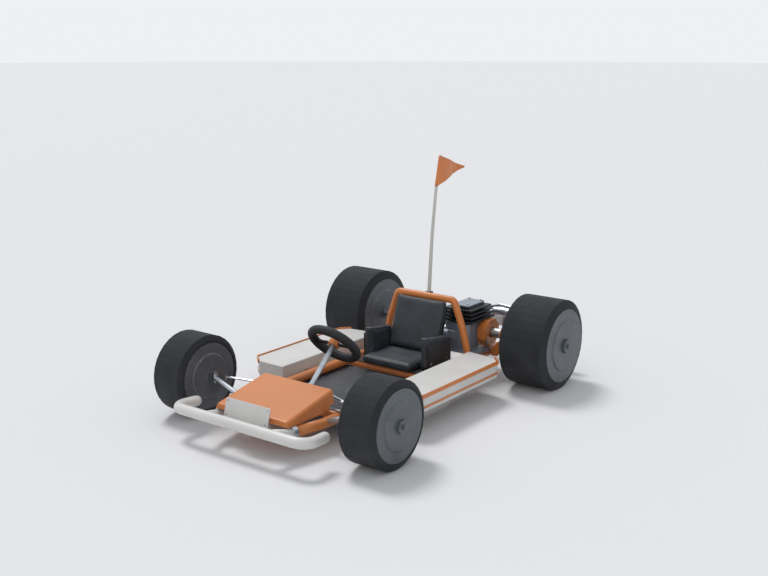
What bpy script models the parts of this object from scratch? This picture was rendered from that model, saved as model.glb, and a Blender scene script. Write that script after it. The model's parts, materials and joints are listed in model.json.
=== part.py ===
"""Racing kart: a tube-framed single-seat kart with a rear engine, a live axle and linked steering.

Metres, +Z up. The origin is on the ground at mid-wheelbase, the kart faces -Y and its left is +X.
"""

import math

import bmesh
import bpy
from mathutils import Matrix, Vector

KART = "racing_kart"

# Clearances
SEAT_GAP = 0.0003          # between two pieces that rest on each other
RUNNING_GAP = 0.0006       # radial play of a turning fit
SIDE_PLAY = 0.0006         # end play of a turning fit
LINK_PLAY = 0.0012         # radial play of the steering's open pivots

# Wheels and axles. A value named FROM_AXLE is a distance behind an axle, or in front of it where negative.
WHEELBASE = 1.30
FRONT_AXLE_Y = -WHEELBASE / 2
REAR_AXLE_Y = WHEELBASE / 2
WHEEL_SEGMENTS = 32
FRONT_TYRE_RADIUS = 0.188
FRONT_TYRE_OUTER_X = 0.6276
FRONT_TYRE_WIDTH = 0.1796
FRONT_RIM_RADIUS = 0.155
FRONT_HUB_RADIUS = 0.031
FRONT_HUB_OUTWARD = 0.018
REAR_TYRE_RADIUS = 0.2235
REAR_TYRE_OUTER_X = 0.677
REAR_TYRE_WIDTH = 0.2564
REAR_RIM_RADIUS = 0.182
REAR_HUB_RADIUS = 0.036
REAR_HUB_OUTWARD = 0.018
REAR_HUB_INWARD = 0.010
FRONT_SIDEWALL_RADIUS = 0.167
FRONT_SHOULDER = 0.0143    # width of the chamfer between the sidewall and the tread
REAR_SIDEWALL_RADIUS = 0.1868
REAR_SHOULDER = 0.0182
TYRE_WALL = 0.014
BEAD_WIDTH = 0.021
RIM_WALL = 0.004
RIM_DISC_SHARE = 0.68      # radius of the raised disc on the rim's face, as a share of the rim
RIM_DISC_RISE = 0.003
AXLE_RADIUS = 0.025
AXLE_CAP = 0.010           # solid end of the rear hubs, past the axle's tip
STUB_RADIUS = 0.0125

# Frame
RAIL_RADIUS = 0.023
RAIL_X = 0.243
RAIL_Z = 0.118
RAIL_REAR_FROM_AXLE = 0.125
RAIL_REAR_Y = REAR_AXLE_Y + RAIL_REAR_FROM_AXLE
RAIL_BEND_FROM_AXLE = -0.010
RAIL_BEND_Y = FRONT_AXLE_Y + RAIL_BEND_FROM_AXLE
RAIL_NOSE_X = 0.210
RAIL_NOSE_FROM_AXLE = -0.155
RAIL_NOSE = (RAIL_NOSE_X, FRONT_AXLE_Y + RAIL_NOSE_FROM_AXLE)
RAIL_BEND_RADIUS = 0.20
FRONT_CROSS_FROM_AXLE = 0.095
FRONT_CROSS_Y = FRONT_AXLE_Y + FRONT_CROSS_FROM_AXLE
SEAT_CROSS_FROM_AXLE = -0.520
SEAT_CROSS_Y = REAR_AXLE_Y + SEAT_CROSS_FROM_AXLE
SEAT_CROSS_Z = 0.100
REAR_CROSS_FROM_AXLE = 0.102
REAR_CROSS_Y = REAR_AXLE_Y + REAR_CROSS_FROM_AXLE
CROSS_RADIUS = 0.021
OUTRIGGER_RADIUS = 0.014
OUTRIGGER_FROM_AXLE = (0.480, -0.430)
OUTRIGGER_Y = (FRONT_AXLE_Y + OUTRIGGER_FROM_AXLE[0], REAR_AXLE_Y + OUTRIGGER_FROM_AXLE[1])
TUBE_SIDES = 12
SMALL_TUBE_SIDES = 8

# Floor pan
PAN_HALF_WIDTH = 0.258
PAN_FRONT_FROM_AXLE = 0.090
PAN_FRONT_Y = FRONT_AXLE_Y + PAN_FRONT_FROM_AXLE
PAN_REAR_FROM_AXLE = -0.550
PAN_REAR_Y = REAR_AXLE_Y + PAN_REAR_FROM_AXLE
PAN_THICKNESS = 0.003

# Bumpers
BUMPER_RADIUS = 0.024
BUMPER_BACK_RADIUS = 0.021
BUMPER_COLLAR_RADIUS = 0.0265
BUMPER_COLLAR_LENGTH = 0.024
BUMPER_FROM_AXLE = (
    (0.0, -0.293, 0.140), (0.20, -0.293, 0.140),
    (0.379, -0.288, 0.138), (0.369, -0.162, 0.131),
)
FRONT_BUMPER_ROUTE = tuple((x, FRONT_AXLE_Y + behind, z) for x, behind, z in BUMPER_FROM_AXLE)
BUMPER_SUPPORT_X = 0.180
BUMPER_SUPPORT_BEND = 0.10
BUMPER_SUPPORT_LEAD = 0.026
FRONT_BUMPER_BEND = 0.060
REAR_BUMPER_FROM_AXLE = 0.292
REAR_BUMPER_Y = REAR_AXLE_Y + REAR_BUMPER_FROM_AXLE
REAR_BUMPER_Z = 0.208
REAR_BUMPER_HALF = 0.550
REAR_BUMPER_HEIGHT = 0.062
REAR_BUMPER_DEPTH = 0.050
REAR_BUMPER_BEVEL = 0.014

# Nose cone and plate
NOSE_WALL = 0.004
NOSE_BEVEL = 0.012
PLATE_HALF_WIDTH = 0.125
PLATE_THICKNESS = 0.005
PLATE_FROM_AXLE = (-0.212, -0.234)   # at its top and at its bottom
PLATE_Z = (0.214, 0.135)
PLATE_TOP = (FRONT_AXLE_Y + PLATE_FROM_AXLE[0], PLATE_Z[0])
PLATE_BOTTOM = (FRONT_AXLE_Y + PLATE_FROM_AXLE[1], PLATE_Z[1])
PLATE_CORNER = 0.008
PLATE_STALK_HALF = 0.060
PLATE_STALK_Z = (0.1445, 0.1655)
PLATE_STALK_SINK = 0.004

# Side pods: outline in plan, from the front inner corner round the outside
POD_INNER_X = 0.2815
POD_OUTER_X = 0.4876
POD_FRONT_FROM_AXLE = 0.310
POD_FRONT_Y = FRONT_AXLE_Y + POD_FRONT_FROM_AXLE
POD_REAR_FROM_AXLE = -0.248
POD_REAR_Y = REAR_AXLE_Y + POD_REAR_FROM_AXLE
POD_CORNER_FRONT = 0.052
POD_CORNER_REAR = 0.046
POD_BOTTOM_Z = 0.106
POD_TOP_Z = 0.186
POD_BEVEL = 0.008
POD_WALL = 0.004
POD_FRONT_STEP = 0.004
POD_TAIL_STEP = 0.022
TRIM_PROUD = 0.005
TRIM_TOP_Z = 0.192
TRIM_BOTTOM_Z = 0.173
TRIM_DEPTH = 0.012         # how far the trim strip is let into the pod's side
STRIPE_TOP_Z = 0.137
STRIPE_BOTTOM_Z = 0.125
STRIPE_PROUD = 0.003

# Steering
COLUMN_TILT = math.radians(47)
STEER_FROM_AXLE = 0.3526
STEER_Z = 0.3367
WHEEL_CENTRE = (0.0, FRONT_AXLE_Y + STEER_FROM_AXLE, STEER_Z)
STEER_RING_RADIUS = 0.1133
STEER_TUBE_RADIUS = 0.0209
STEER_RING_STEPS = 28
COLUMN_RADIUS = 0.0125
COLUMN_FOOT = 0.262        # from the wheel's centre down the column to its end
PITMAN_AT = 0.226          # from the wheel's centre to the drop arm
PITMAN_LENGTH = 0.035
PITMAN_PLATE = 0.004
KINGPIN_X = 0.413
KINGPIN_RADIUS = 0.006
KNUCKLE_ARM = 0.068
TIE_ROD_RADIUS = 0.005
LINK_PIN_RADIUS = 0.004
LINK_COLLAR_RADIUS = 0.0055
LINK_EYE_RADIUS = 0.0095
LINK_EYE_THICKNESS = 0.0116
LINK_SPACER = 0.004        # lifts the upper tie rod clear of the drop arm
ARM_RADIUS = 0.0125

PALETTE = {
    "orange_paint": ((0.605, 0.225, 0.085), 0.45, 0.0),
    "white_paint": ((0.640, 0.640, 0.630), 0.40, 0.0),
    "pan_paint": ((0.042, 0.058, 0.078), 0.45, 0.3),
    "nose_plastic": ((0.605, 0.225, 0.085), 0.35, 0.0),
    "pod_plastic": ((0.640, 0.640, 0.630), 0.35, 0.0),
    "tyre_rubber": ((0.022, 0.024, 0.028), 0.85, 0.0),
    "rim_metal": ((0.105, 0.125, 0.140), 0.40, 0.8),
    "chrome": ((0.560, 0.580, 0.620), 0.18, 1.0),
    "steel": ((0.300, 0.320, 0.350), 0.35, 1.0),
    "engine_casting": ((0.165, 0.195, 0.225), 0.50, 0.7),
    "fin_black": ((0.020, 0.023, 0.028), 0.45, 0.4),
    "seat_vinyl": ((0.030, 0.036, 0.045), 0.60, 0.0),
    "seat_shell": ((0.020, 0.022, 0.026), 0.50, 0.0),
    "grip_rubber": ((0.015, 0.016, 0.018), 0.60, 0.0),
    "pole_fibreglass": ((0.600, 0.600, 0.560), 0.40, 0.0),
    "flag_cloth": ((0.600, 0.200, 0.060), 0.80, 0.0),
}


def start_scene():
    """An empty scene with one collection for the kart and one for its cutters."""
    for piece in list(bpy.data.objects):
        bpy.data.objects.remove(piece, do_unlink=True)
    for name in (KART, "cutters"):
        collection = bpy.data.collections.new(name)
        bpy.context.scene.collection.children.link(collection)


def material(name):
    """A Principled material with its colour, roughness and metallic value from the palette."""
    found = bpy.data.materials.get(name)
    if found:
        return found
    colour, roughness, metallic = PALETTE[name]
    made = bpy.data.materials.new(name)
    made.use_nodes = True
    shader = made.node_tree.nodes["Principled BSDF"]
    shader.inputs["Base Color"].default_value = (*colour, 1.0)
    shader.inputs["Roughness"].default_value = roughness
    shader.inputs["Metallic"].default_value = metallic
    made.diffuse_color = (*colour, 1.0)
    return made


def move_to(piece, collection_name):
    """Puts an object in one collection only."""
    for collection in list(piece.users_collection):
        collection.objects.unlink(piece)
    bpy.data.collections[collection_name].objects.link(piece)
    return piece


def finish(piece, name, finish_name):
    """Names a part, gives it its material and puts it in the kart's collection."""
    piece.name = name
    piece.data.name = name
    piece.data.materials.clear()
    piece.data.materials.append(material(finish_name))
    return move_to(piece, KART)


def smooth(piece, angle=35):
    """Smooth shading that keeps the edges sharper than the angle."""
    piece.data.shade_smooth()
    piece.data.set_sharp_from_angle(angle=math.radians(angle))
    return piece


def as_mesh(piece):
    """A plain mesh object from what the modifiers or the curve make, in the same place."""
    graph = bpy.context.evaluated_depsgraph_get()
    graph.update()
    mesh = bpy.data.meshes.new_from_object(piece.evaluated_get(graph), depsgraph=graph)
    work = bmesh.new()
    work.from_mesh(mesh)
    bmesh.ops.remove_doubles(work, verts=work.verts, dist=0.00002)
    work.to_mesh(mesh)
    work.free()
    made = bpy.data.objects.new(piece.name, mesh)
    made.matrix_world = piece.matrix_world.copy()
    bpy.context.scene.collection.objects.link(made)
    bpy.data.objects.remove(piece, do_unlink=True)
    return made


def worked(piece, tools, operation):
    """The piece with the tool solids joined to it or cut from it, the tools kept as hidden cutters."""
    for tool in tools:
        move_to(tool, "cutters")
        tool.hide_render = True
        tool.display_type = "WIRE"
        change = piece.modifiers.new(operation.lower(), "BOOLEAN")
        change.operation = operation
        change.solver = "EXACT"
        change.object = tool
    return piece


def joined(piece, *tools):
    return worked(piece, tools, "UNION")


def cut(piece, *tools):
    return worked(piece, tools, "DIFFERENCE")


def box(low, high, bevel=0.0, segments=1):
    """A box between two corners, its edges rounded by a Bevel."""
    size = [top - bottom for bottom, top in zip(low, high)]
    centre = [(top + bottom) / 2 for bottom, top in zip(low, high)]
    bpy.ops.mesh.primitive_cube_add(size=1.0, location=centre)
    piece = bpy.context.object
    piece.data.transform(Matrix.Diagonal((*size, 1.0)))
    if bevel:
        rounding = piece.modifiers.new("rounding", "BEVEL")
        rounding.width = bevel
        rounding.segments = segments
        rounding.limit_method = "ANGLE"
    return piece


def turn_to(direction):
    """The rotation that lays +Z along a direction."""
    return Vector(direction).to_track_quat("Z", "Y").to_euler()


def cylinder(start, end, radius, sides=16, turn=0.0):
    """A closed cylinder between two points, turned about its own axis."""
    start = Vector(start)
    end = Vector(end)
    axis = end - start
    middle = (start + end) / 2
    bpy.ops.mesh.primitive_cylinder_add(vertices=sides, radius=radius, depth=axis.length, location=middle)
    piece = bpy.context.object
    piece.data.transform(Matrix.Rotation(turn, 4, "Z"))
    piece.rotation_euler = turn_to(axis)
    return piece


def rounded(route, radius, steps=4):
    """A route's points with each inner corner replaced by an arc of the radius."""
    points = [Vector(point) for point in route]
    path = [points[0]]
    for before, corner, after in zip(points, points[1:], points[2:]):
        into = (before - corner).normalized()
        out = (after - corner).normalized()
        half = into.angle(out) / 2
        if half > math.radians(88):
            path.append(corner)
            continue
        reach = min(radius / math.tan(half), 0.48 * (before - corner).length, 0.48 * (after - corner).length)
        bend = reach * math.tan(half)
        centre = corner + (into + out).normalized() * (bend / math.sin(half))
        first = corner + into * reach - centre
        last = corner + out * reach - centre
        sweep = first.angle(last)
        for step in range(steps + 1):
            share = step / steps
            arm = (first * math.sin((1 - share) * sweep) + last * math.sin(share * sweep)) / math.sin(sweep)
            path.append(centre + arm)
    path.append(points[-1])
    return path


def tube(route, radius, sides=TUBE_SIDES, radii=None, closed=False):
    """A tube with filled ends along a route, as a curve with a round bevel."""
    curve = bpy.data.curves.new("tube", "CURVE")
    curve.dimensions = "3D"
    curve.bevel_depth = radius
    curve.bevel_resolution = (sides - 4) // 2
    curve.use_fill_caps = not closed
    line = curve.splines.new("POLY")
    line.points.add(len(route) - 1)
    for index, place in enumerate(route):
        line.points[index].co = (*place, 1.0)
        if radii:
            line.points[index].radius = radii[index]
    line.use_cyclic_u = closed
    piece = bpy.data.objects.new("tube", curve)
    bpy.context.scene.collection.objects.link(piece)
    return piece


def solid_tube(route, radius, sides=TUBE_SIDES, **settings):
    """The same tube as a mesh, for joining and cutting."""
    return as_mesh(tube(route, radius, sides, **settings))


def plate(outline, thickness, place):
    """A flat outline extruded to a thickness, its mid plane laid by a matrix."""
    curve = bpy.data.curves.new("plate", "CURVE")
    curve.dimensions = "2D"
    curve.fill_mode = "BOTH"
    curve.extrude = thickness / 2
    line = curve.splines.new("POLY")
    line.points.add(len(outline) - 1)
    for index, (across, up) in enumerate(outline):
        line.points[index].co = (across, up, 0.0, 1.0)
    line.use_cyclic_u = True
    piece = bpy.data.objects.new("plate", curve)
    piece.matrix_world = place
    bpy.context.scene.collection.objects.link(piece)
    return as_mesh(piece)


def facing(origin, across, up):
    """A matrix whose X and Y lie along two directions, for laying out a flat outline."""
    across = Vector(across).normalized()
    up = Vector(up).normalized()
    out = across.cross(up)
    return Matrix.Translation(origin) @ Matrix((across, up, out)).transposed().to_4x4()


def turned(profile, steps=WHEEL_SEGMENTS):
    """A closed solid of revolution about Z from a closed profile of (radius, height) points."""
    mesh = bpy.data.meshes.new("turned")
    work = bmesh.new()
    corners = [work.verts.new((radius, 0.0, height)) for radius, height in profile]
    for first, second in zip(corners, corners[1:] + corners[:1]):
        work.edges.new((first, second))
    work.to_mesh(mesh)
    work.free()
    piece = bpy.data.objects.new("turned", mesh)
    bpy.context.scene.collection.objects.link(piece)
    spin = piece.modifiers.new("spin", "SCREW")
    spin.axis = "Z"
    spin.steps = steps
    spin.render_steps = steps
    spin.use_merge_vertices = True
    spin.merge_threshold = 0.00005
    return piece


def arc(centre, radius, start, end, steps):
    """Points of an arc in a plane, from one angle in degrees to another."""
    return [
        (
            centre[0] + radius * math.cos(math.radians(start + (end - start) * step / steps)),
            centre[1] + radius * math.sin(math.radians(start + (end - start) * step / steps)),
        )
        for step in range(steps + 1)
    ]


def pivot(name, place, *pieces):
    """An empty on a joint's axis that carries the pieces which move with it."""
    empty = bpy.data.objects.new(name, None)
    empty.empty_display_size = 0.03
    empty.location = place
    bpy.data.collections[KART].objects.link(empty)
    for piece in pieces:
        piece.parent = empty
        piece.matrix_parent_inverse = Matrix.Translation(place).inverted()
    return empty


def both_sides():
    """Each side's word and sign: the kart's left is +X."""
    return (("left", 1), ("right", -1))


def wheel_place(side, centre_x, centre_y, centre_z):
    """Lays a wheel's own +Z outward on one side of the kart, with a flat of its rim at the bottom."""
    outward = Matrix.Rotation(side * math.pi / 2, 4, "Y")
    half_step = Matrix.Rotation(math.pi / WHEEL_SEGMENTS, 4, "Z")
    return Matrix.Translation((side * centre_x, centre_y, centre_z)) @ outward @ half_step


def tyre(name, place, radius, bore, width, sidewall, shoulder):
    """A hollow tyre: flat sidewalls, a chamfered shoulder and two beads that sit on the rim."""
    half = width / 2
    crown = radius / math.cos(math.pi / WHEEL_SEGMENTS)
    land = bore + SEAT_GAP
    outside = [(land, half), (sidewall, half), (crown, half - shoulder)]
    inside = [(crown - TYRE_WALL, half - shoulder - TYRE_WALL), (land, half - BEAD_WIDTH)]
    profile = outside
    profile += [(across, -along) for across, along in reversed(outside)]
    profile += [(across, -along) for across, along in reversed(inside)]
    profile += inside
    piece = turned(profile)
    piece.matrix_world = place
    return smooth(finish(piece, name, "tyre_rubber"))


def rim(name, place, radius, width, hub_radius, outward, inward, bore):
    """Two dished discs on one barrel, with an eight-sided hub on each disc and a blind bore for the axle."""
    half = width / 2
    raised = half + RIM_DISC_RISE
    disc = RIM_DISC_SHARE * radius
    throat = 0.75 * hub_radius
    profile = [
        (throat, raised),
        (disc, raised),
        (disc, half),
        (radius, half),
        (radius, -half),
        (throat, -half),
        (throat, RIM_WALL - half),
        (radius - RIM_WALL, RIM_WALL - half),
        (radius - RIM_WALL, half - RIM_WALL),
        (throat, half - RIM_WALL),
    ]
    piece = turned(profile)
    piece.matrix_world = place
    root = half - 2.5 * RIM_WALL
    octagon = math.pi / 8
    roots = (place @ Vector((0, 0, root)), place @ Vector((0, 0, -root)))
    tips = (place @ Vector((0, 0, half + outward)), place @ Vector((0, 0, -half - inward)))
    outer_hub, inner_hub = (cylinder(start, end, hub_radius, 8, octagon) for start, end in zip(roots, tips))
    tip = place @ Vector((0, 0, half + outward - AXLE_CAP))
    open_end = place @ Vector((0, 0, -half - inward - 2 * AXLE_CAP))
    joined(piece, outer_hub, inner_hub)
    cut(piece, cylinder(open_end, tip, bore, 24))
    return smooth(finish(piece, name, "rim_metal"), 30)


FRONT_HALF = FRONT_TYRE_WIDTH / 2
FRONT_CENTRE_X = FRONT_TYRE_OUTER_X - FRONT_HALF
REAR_HALF = REAR_TYRE_WIDTH / 2
REAR_CENTRE_X = REAR_TYRE_OUTER_X - REAR_HALF
KNUCKLE_WEB_X = (KINGPIN_X + 0.0125, KINGPIN_X + 0.0245)
FRONT_HUB_IN = FRONT_CENTRE_X - FRONT_HALF - KNUCKLE_WEB_X[1] - SIDE_PLAY


def front_wheel(word, side):
    place = wheel_place(side, FRONT_CENTRE_X, FRONT_AXLE_Y, FRONT_TYRE_RADIUS)
    rubber = tyre(
        f"front_tyre_{word}", place, FRONT_TYRE_RADIUS, FRONT_RIM_RADIUS, FRONT_TYRE_WIDTH,
        FRONT_SIDEWALL_RADIUS, FRONT_SHOULDER,
    )
    disc = rim(
        f"front_rim_{word}", place, FRONT_RIM_RADIUS, FRONT_TYRE_WIDTH, FRONT_HUB_RADIUS,
        FRONT_HUB_OUTWARD, FRONT_HUB_IN, STUB_RADIUS + RUNNING_GAP,
    )
    pivot(f"front_wheel_{word}_pivot", place.translation, rubber, disc)


def rear_wheel(word, side):
    place = wheel_place(side, REAR_CENTRE_X, REAR_AXLE_Y, REAR_TYRE_RADIUS)
    rubber = tyre(
        f"rear_tyre_{word}", place, REAR_TYRE_RADIUS, REAR_RIM_RADIUS, REAR_TYRE_WIDTH,
        REAR_SIDEWALL_RADIUS, REAR_SHOULDER,
    )
    disc = rim(
        f"rear_rim_{word}", place, REAR_RIM_RADIUS, REAR_TYRE_WIDTH, REAR_HUB_RADIUS,
        REAR_HUB_OUTWARD, REAR_HUB_INWARD, AXLE_RADIUS + SEAT_GAP,
    )
    return rubber, disc


def rail_route(side):
    """The centre line of a main rail, from its rear end to the nose."""
    return rounded(
        (
            (side * RAIL_X, RAIL_REAR_Y, RAIL_Z),
            (side * RAIL_X, RAIL_BEND_Y, RAIL_Z),
            (side * RAIL_NOSE[0], RAIL_NOSE[1], RAIL_Z),
        ),
        RAIL_BEND_RADIUS,
    )


def rail_cutter(side):
    """What a tube welded to the rail is coped with."""
    return solid_tube(rail_route(side), RAIL_RADIUS + SEAT_GAP)


def frame_rail(word, side):
    """A main rail with the two outriggers that carry the side pod."""
    piece = solid_tube(rail_route(side), RAIL_RADIUS)
    for along in OUTRIGGER_Y:
        inner = (side * RAIL_X, along, RAIL_Z)
        outer = (side * (POD_INNER_X - SEAT_GAP), along, RAIL_Z)
        joined(piece, cylinder(inner, outer, OUTRIGGER_RADIUS, SMALL_TUBE_SIDES))
    return smooth(finish(piece, f"frame_rail_{word}", "orange_paint"))


PEDAL_SHAFT_FROM_AXLE = 0.078
PEDAL_SHAFT_Y = FRONT_AXLE_Y + PEDAL_SHAFT_FROM_AXLE
PEDAL_SHAFT_Z = 0.148
PEDAL_SHAFT_RADIUS = 0.005
PEDAL_LUG_X = (0.085, 0.165)
PEDAL_LUG_HALF = (0.004, 0.008, 0.009)


def front_cross_tube():
    """The front cross tube, with the four lugs that the pedal shafts turn in."""
    piece = solid_tube([(-RAIL_X, FRONT_CROSS_Y, RAIL_Z), (RAIL_X, FRONT_CROSS_Y, RAIL_Z)], CROSS_RADIUS)
    for _word, side in both_sides():
        for across in PEDAL_LUG_X:
            middle = Vector((side * across, PEDAL_SHAFT_Y, PEDAL_SHAFT_Z))
            reach = Vector(PEDAL_LUG_HALF)
            low = middle - reach
            low.z = RAIL_Z
            joined(piece, box(low, middle + reach))
        span = (PEDAL_LUG_X[0] - 0.02, PEDAL_LUG_X[1] + 0.02)
        ends = [(side * x, PEDAL_SHAFT_Y, PEDAL_SHAFT_Z) for x in span]
        cut(piece, cylinder(*ends, bore_radius(PEDAL_SHAFT_RADIUS + RUNNING_GAP, 12), 12), rail_cutter(side))
    return smooth(finish(piece, "front_cross_tube", "orange_paint"))


def seat_cross_tube():
    ends = [(x, SEAT_CROSS_Y, SEAT_CROSS_Z) for x in (-RAIL_X, RAIL_X)]
    piece = solid_tube(ends, CROSS_RADIUS)
    cut(piece, rail_cutter(1), rail_cutter(-1))
    return smooth(finish(piece, "seat_cross_tube", "orange_paint"))


ENGINE_RAIL_X = 0.075
ENGINE_RAIL_RADIUS = 0.014
ENGINE_RAIL_FROM_AXLE = (-0.190, -0.265)   # where it starts and ends its dip to the seat's tube
ENGINE_RAIL_BEND = 0.08
RAIL_TOP_Z = RAIL_Z + RAIL_RADIUS


def rear_cross_tube():
    """The rear cross tube, with the short engine rail that runs forward from it to the seat's cross tube."""
    piece = solid_tube([(-RAIL_X, REAR_CROSS_Y, RAIL_Z), (RAIL_X, REAR_CROSS_Y, RAIL_Z)], CROSS_RADIUS)
    engine_z = RAIL_TOP_Z - ENGINE_RAIL_RADIUS
    route = rounded(
        (
            (ENGINE_RAIL_X, REAR_CROSS_Y, engine_z),
            (ENGINE_RAIL_X, REAR_AXLE_Y + ENGINE_RAIL_FROM_AXLE[0], engine_z),
            (ENGINE_RAIL_X, REAR_AXLE_Y + ENGINE_RAIL_FROM_AXLE[1], SEAT_CROSS_Z),
            (ENGINE_RAIL_X, SEAT_CROSS_Y, SEAT_CROSS_Z),
        ),
        ENGINE_RAIL_BEND,
        3,
    )
    joined(piece, solid_tube(route, ENGINE_RAIL_RADIUS))
    seat_tube = solid_tube([(-RAIL_X, SEAT_CROSS_Y, SEAT_CROSS_Z), (RAIL_X, SEAT_CROSS_Y, SEAT_CROSS_Z)],
                           CROSS_RADIUS + SEAT_GAP)
    cut(piece, rail_cutter(1), rail_cutter(-1), seat_tube)
    return smooth(finish(piece, "rear_cross_tube", "orange_paint"))


def floor_pan():
    """The sheet that hangs under the rails, from the front cross tube to the seat."""
    top = RAIL_Z - RAIL_RADIUS - SEAT_GAP
    piece = box((-PAN_HALF_WIDTH, PAN_FRONT_Y, top - PAN_THICKNESS), (PAN_HALF_WIDTH, PAN_REAR_Y, top))
    return finish(piece, "floor_pan", "pan_paint")


def front_bumper():
    """A bowed hoop whose ends curl back, on two supports that sleeve onto the rails."""
    half = rounded(FRONT_BUMPER_ROUTE, FRONT_BUMPER_BEND, 4)
    route = [Vector((-point.x, point.y, point.z)) for point in reversed(half[1:])] + half
    piece = solid_tube(route, BUMPER_RADIUS, 10)
    for _word, side in both_sides():
        foot = Vector((side * RAIL_NOSE[0], RAIL_NOSE[1], RAIL_Z))
        lean = (Vector(rail_route(side)[-1]) - Vector(rail_route(side)[-2])).normalized()
        start = foot + lean * SEAT_GAP
        collar = start + lean * BUMPER_COLLAR_LENGTH
        head = Vector((side * BUMPER_SUPPORT_X, FRONT_BUMPER_ROUTE[1][1], FRONT_BUMPER_ROUTE[1][2]))
        support = rounded((start, collar + lean * BUMPER_SUPPORT_LEAD, head), BUMPER_SUPPORT_BEND, 3)
        joined(piece, solid_tube(support, BUMPER_BACK_RADIUS, 10))
        joined(piece, cylinder(start, collar, BUMPER_COLLAR_RADIUS, TUBE_SIDES))
    return smooth(finish(piece, "front_bumper", "white_paint"))


REAR_SUPPORT_RADIUS = 0.016
REAR_SUPPORT_FROM_AXLE = (0.190, 0.240)
REAR_SUPPORT_BEND = 0.04


def rear_bumper():
    """A boxed bar across the back on two tubes that run in from the rear cross tube."""
    low = (-REAR_BUMPER_HALF, REAR_BUMPER_Y - REAR_BUMPER_DEPTH / 2, REAR_BUMPER_Z - REAR_BUMPER_HEIGHT / 2)
    high = (REAR_BUMPER_HALF, REAR_BUMPER_Y + REAR_BUMPER_DEPTH / 2, REAR_BUMPER_Z + REAR_BUMPER_HEIGHT / 2)
    piece = as_mesh(box(low, high, REAR_BUMPER_BEVEL, 2))
    for _word, side in both_sides():
        route = rounded(
            (
                (side * RAIL_X, RAIL_REAR_Y + SEAT_GAP, RAIL_Z),
                (side * RAIL_X, REAR_AXLE_Y + REAR_SUPPORT_FROM_AXLE[0], RAIL_Z),
                (side * RAIL_X, REAR_AXLE_Y + REAR_SUPPORT_FROM_AXLE[1], REAR_BUMPER_Z),
                (side * RAIL_X, REAR_BUMPER_Y, REAR_BUMPER_Z),
            ),
            REAR_SUPPORT_BEND,
            3,
        )
        joined(piece, solid_tube(route, REAR_SUPPORT_RADIUS, SMALL_TUBE_SIDES))
    return smooth(finish(piece, "rear_bumper", "white_paint"))


NOSE_BACK_FROM_AXLE = 0.095
NOSE_BACK_Y = FRONT_AXLE_Y + NOSE_BACK_FROM_AXLE
NOSE_FRONT_FROM_AXLE = -0.202
NOSE_FRONT_Y = FRONT_AXLE_Y + NOSE_FRONT_FROM_AXLE
NOSE_TOP_Z = (0.2296, 0.1690)      # at the back and at the front
NOSE_HALF_TOP = 0.200
NOSE_FLARE = 0.012
NOSE_HALF_BOTTOM = NOSE_HALF_TOP + NOSE_FLARE
NOSE_BOTTOM_Z = RAIL_Z + BUMPER_COLLAR_RADIUS + SEAT_GAP
NOSE_NOTCH_TOP = 0.168             # clears the brake pedal's shaft
NOSE_NOTCH_REACH = 0.012
NOSE_NOTCH_X = (0.18, 0.23)


def nose_cone():
    """A wedge-shaped shell over the feet, open below and behind."""
    mesh = bpy.data.meshes.new("nose")
    work = bmesh.new()
    bmesh.ops.create_cube(work, size=2.0)
    for corner in work.verts:
        back = corner.co.y > 0
        top = corner.co.z > 0
        half = NOSE_HALF_TOP if top else NOSE_HALF_BOTTOM
        roof = NOSE_TOP_Z[0] if back else NOSE_TOP_Z[1]
        corner.co = (
            math.copysign(half, corner.co.x),
            NOSE_BACK_Y if back else NOSE_FRONT_Y,
            roof if top else NOSE_BOTTOM_Z,
        )
    work.normal_update()
    open_faces = [face for face in work.faces if face.normal.y > 0.9 or face.normal.z < -0.9]
    bmesh.ops.delete(work, geom=open_faces, context="FACES_KEEP_BOUNDARY")
    shared = [edge for edge in work.edges if len(edge.link_faces) == 2]
    bmesh.ops.bevel(
        work, geom=shared, offset=NOSE_BEVEL, segments=2, profile=0.5, affect="EDGES", material=-1,
    )
    work.to_mesh(mesh)
    work.free()
    piece = bpy.data.objects.new("nose", mesh)
    bpy.context.scene.collection.objects.link(piece)
    wall = piece.modifiers.new("wall", "SOLIDIFY")
    wall.thickness = NOSE_WALL
    wall.offset = -1
    wall.use_even_offset = True
    piece = as_mesh(piece)
    notch = box(
        (NOSE_NOTCH_X[0], PEDAL_SHAFT_Y - NOSE_NOTCH_REACH, NOSE_BOTTOM_Z - NOSE_BEVEL),
        (NOSE_NOTCH_X[1], NOSE_BACK_Y + NOSE_BEVEL, NOSE_NOTCH_TOP),
    )
    reach = 2 * NOSE_HALF_BOTTOM
    flat = box((-reach, NOSE_FRONT_Y - reach, 0), (reach, NOSE_BACK_Y + reach, NOSE_BOTTOM_Z))
    cut(piece, notch, flat)
    return smooth(finish(piece, "nose_cone", "nose_plastic"), 30)


def number_plate():
    """A bare white plate that leans on the nose cone and stands on the bumper."""
    top = Vector((0, *PLATE_TOP))
    bottom = Vector((0, *PLATE_BOTTOM))
    up = (top - bottom).normalized()
    height = (top - bottom).length
    corner = PLATE_CORNER
    half = PLATE_HALF_WIDTH
    outline = []
    corners = ((half, height, 0), (-half, height, 90), (-half, 0, 180), (half, 0, 270))
    for across, rise, start in corners:
        centre = (across - math.copysign(corner, across), rise + (corner if rise == 0 else -corner))
        outline += arc(centre, corner, start, start + 90, 3)
    piece = plate(outline, PLATE_THICKNESS, facing(bottom, (1, 0, 0), up))
    root = (top.y + bottom.y) / 2 - PLATE_STALK_SINK
    low = (-PLATE_STALK_HALF, root, PLATE_STALK_Z[0])
    high = (PLATE_STALK_HALF, NOSE_FRONT_Y - SEAT_GAP, PLATE_STALK_Z[1])
    stalk = box(low, high)
    joined(piece, stalk)
    return smooth(finish(piece, "number_plate", "pod_plastic"))


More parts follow.
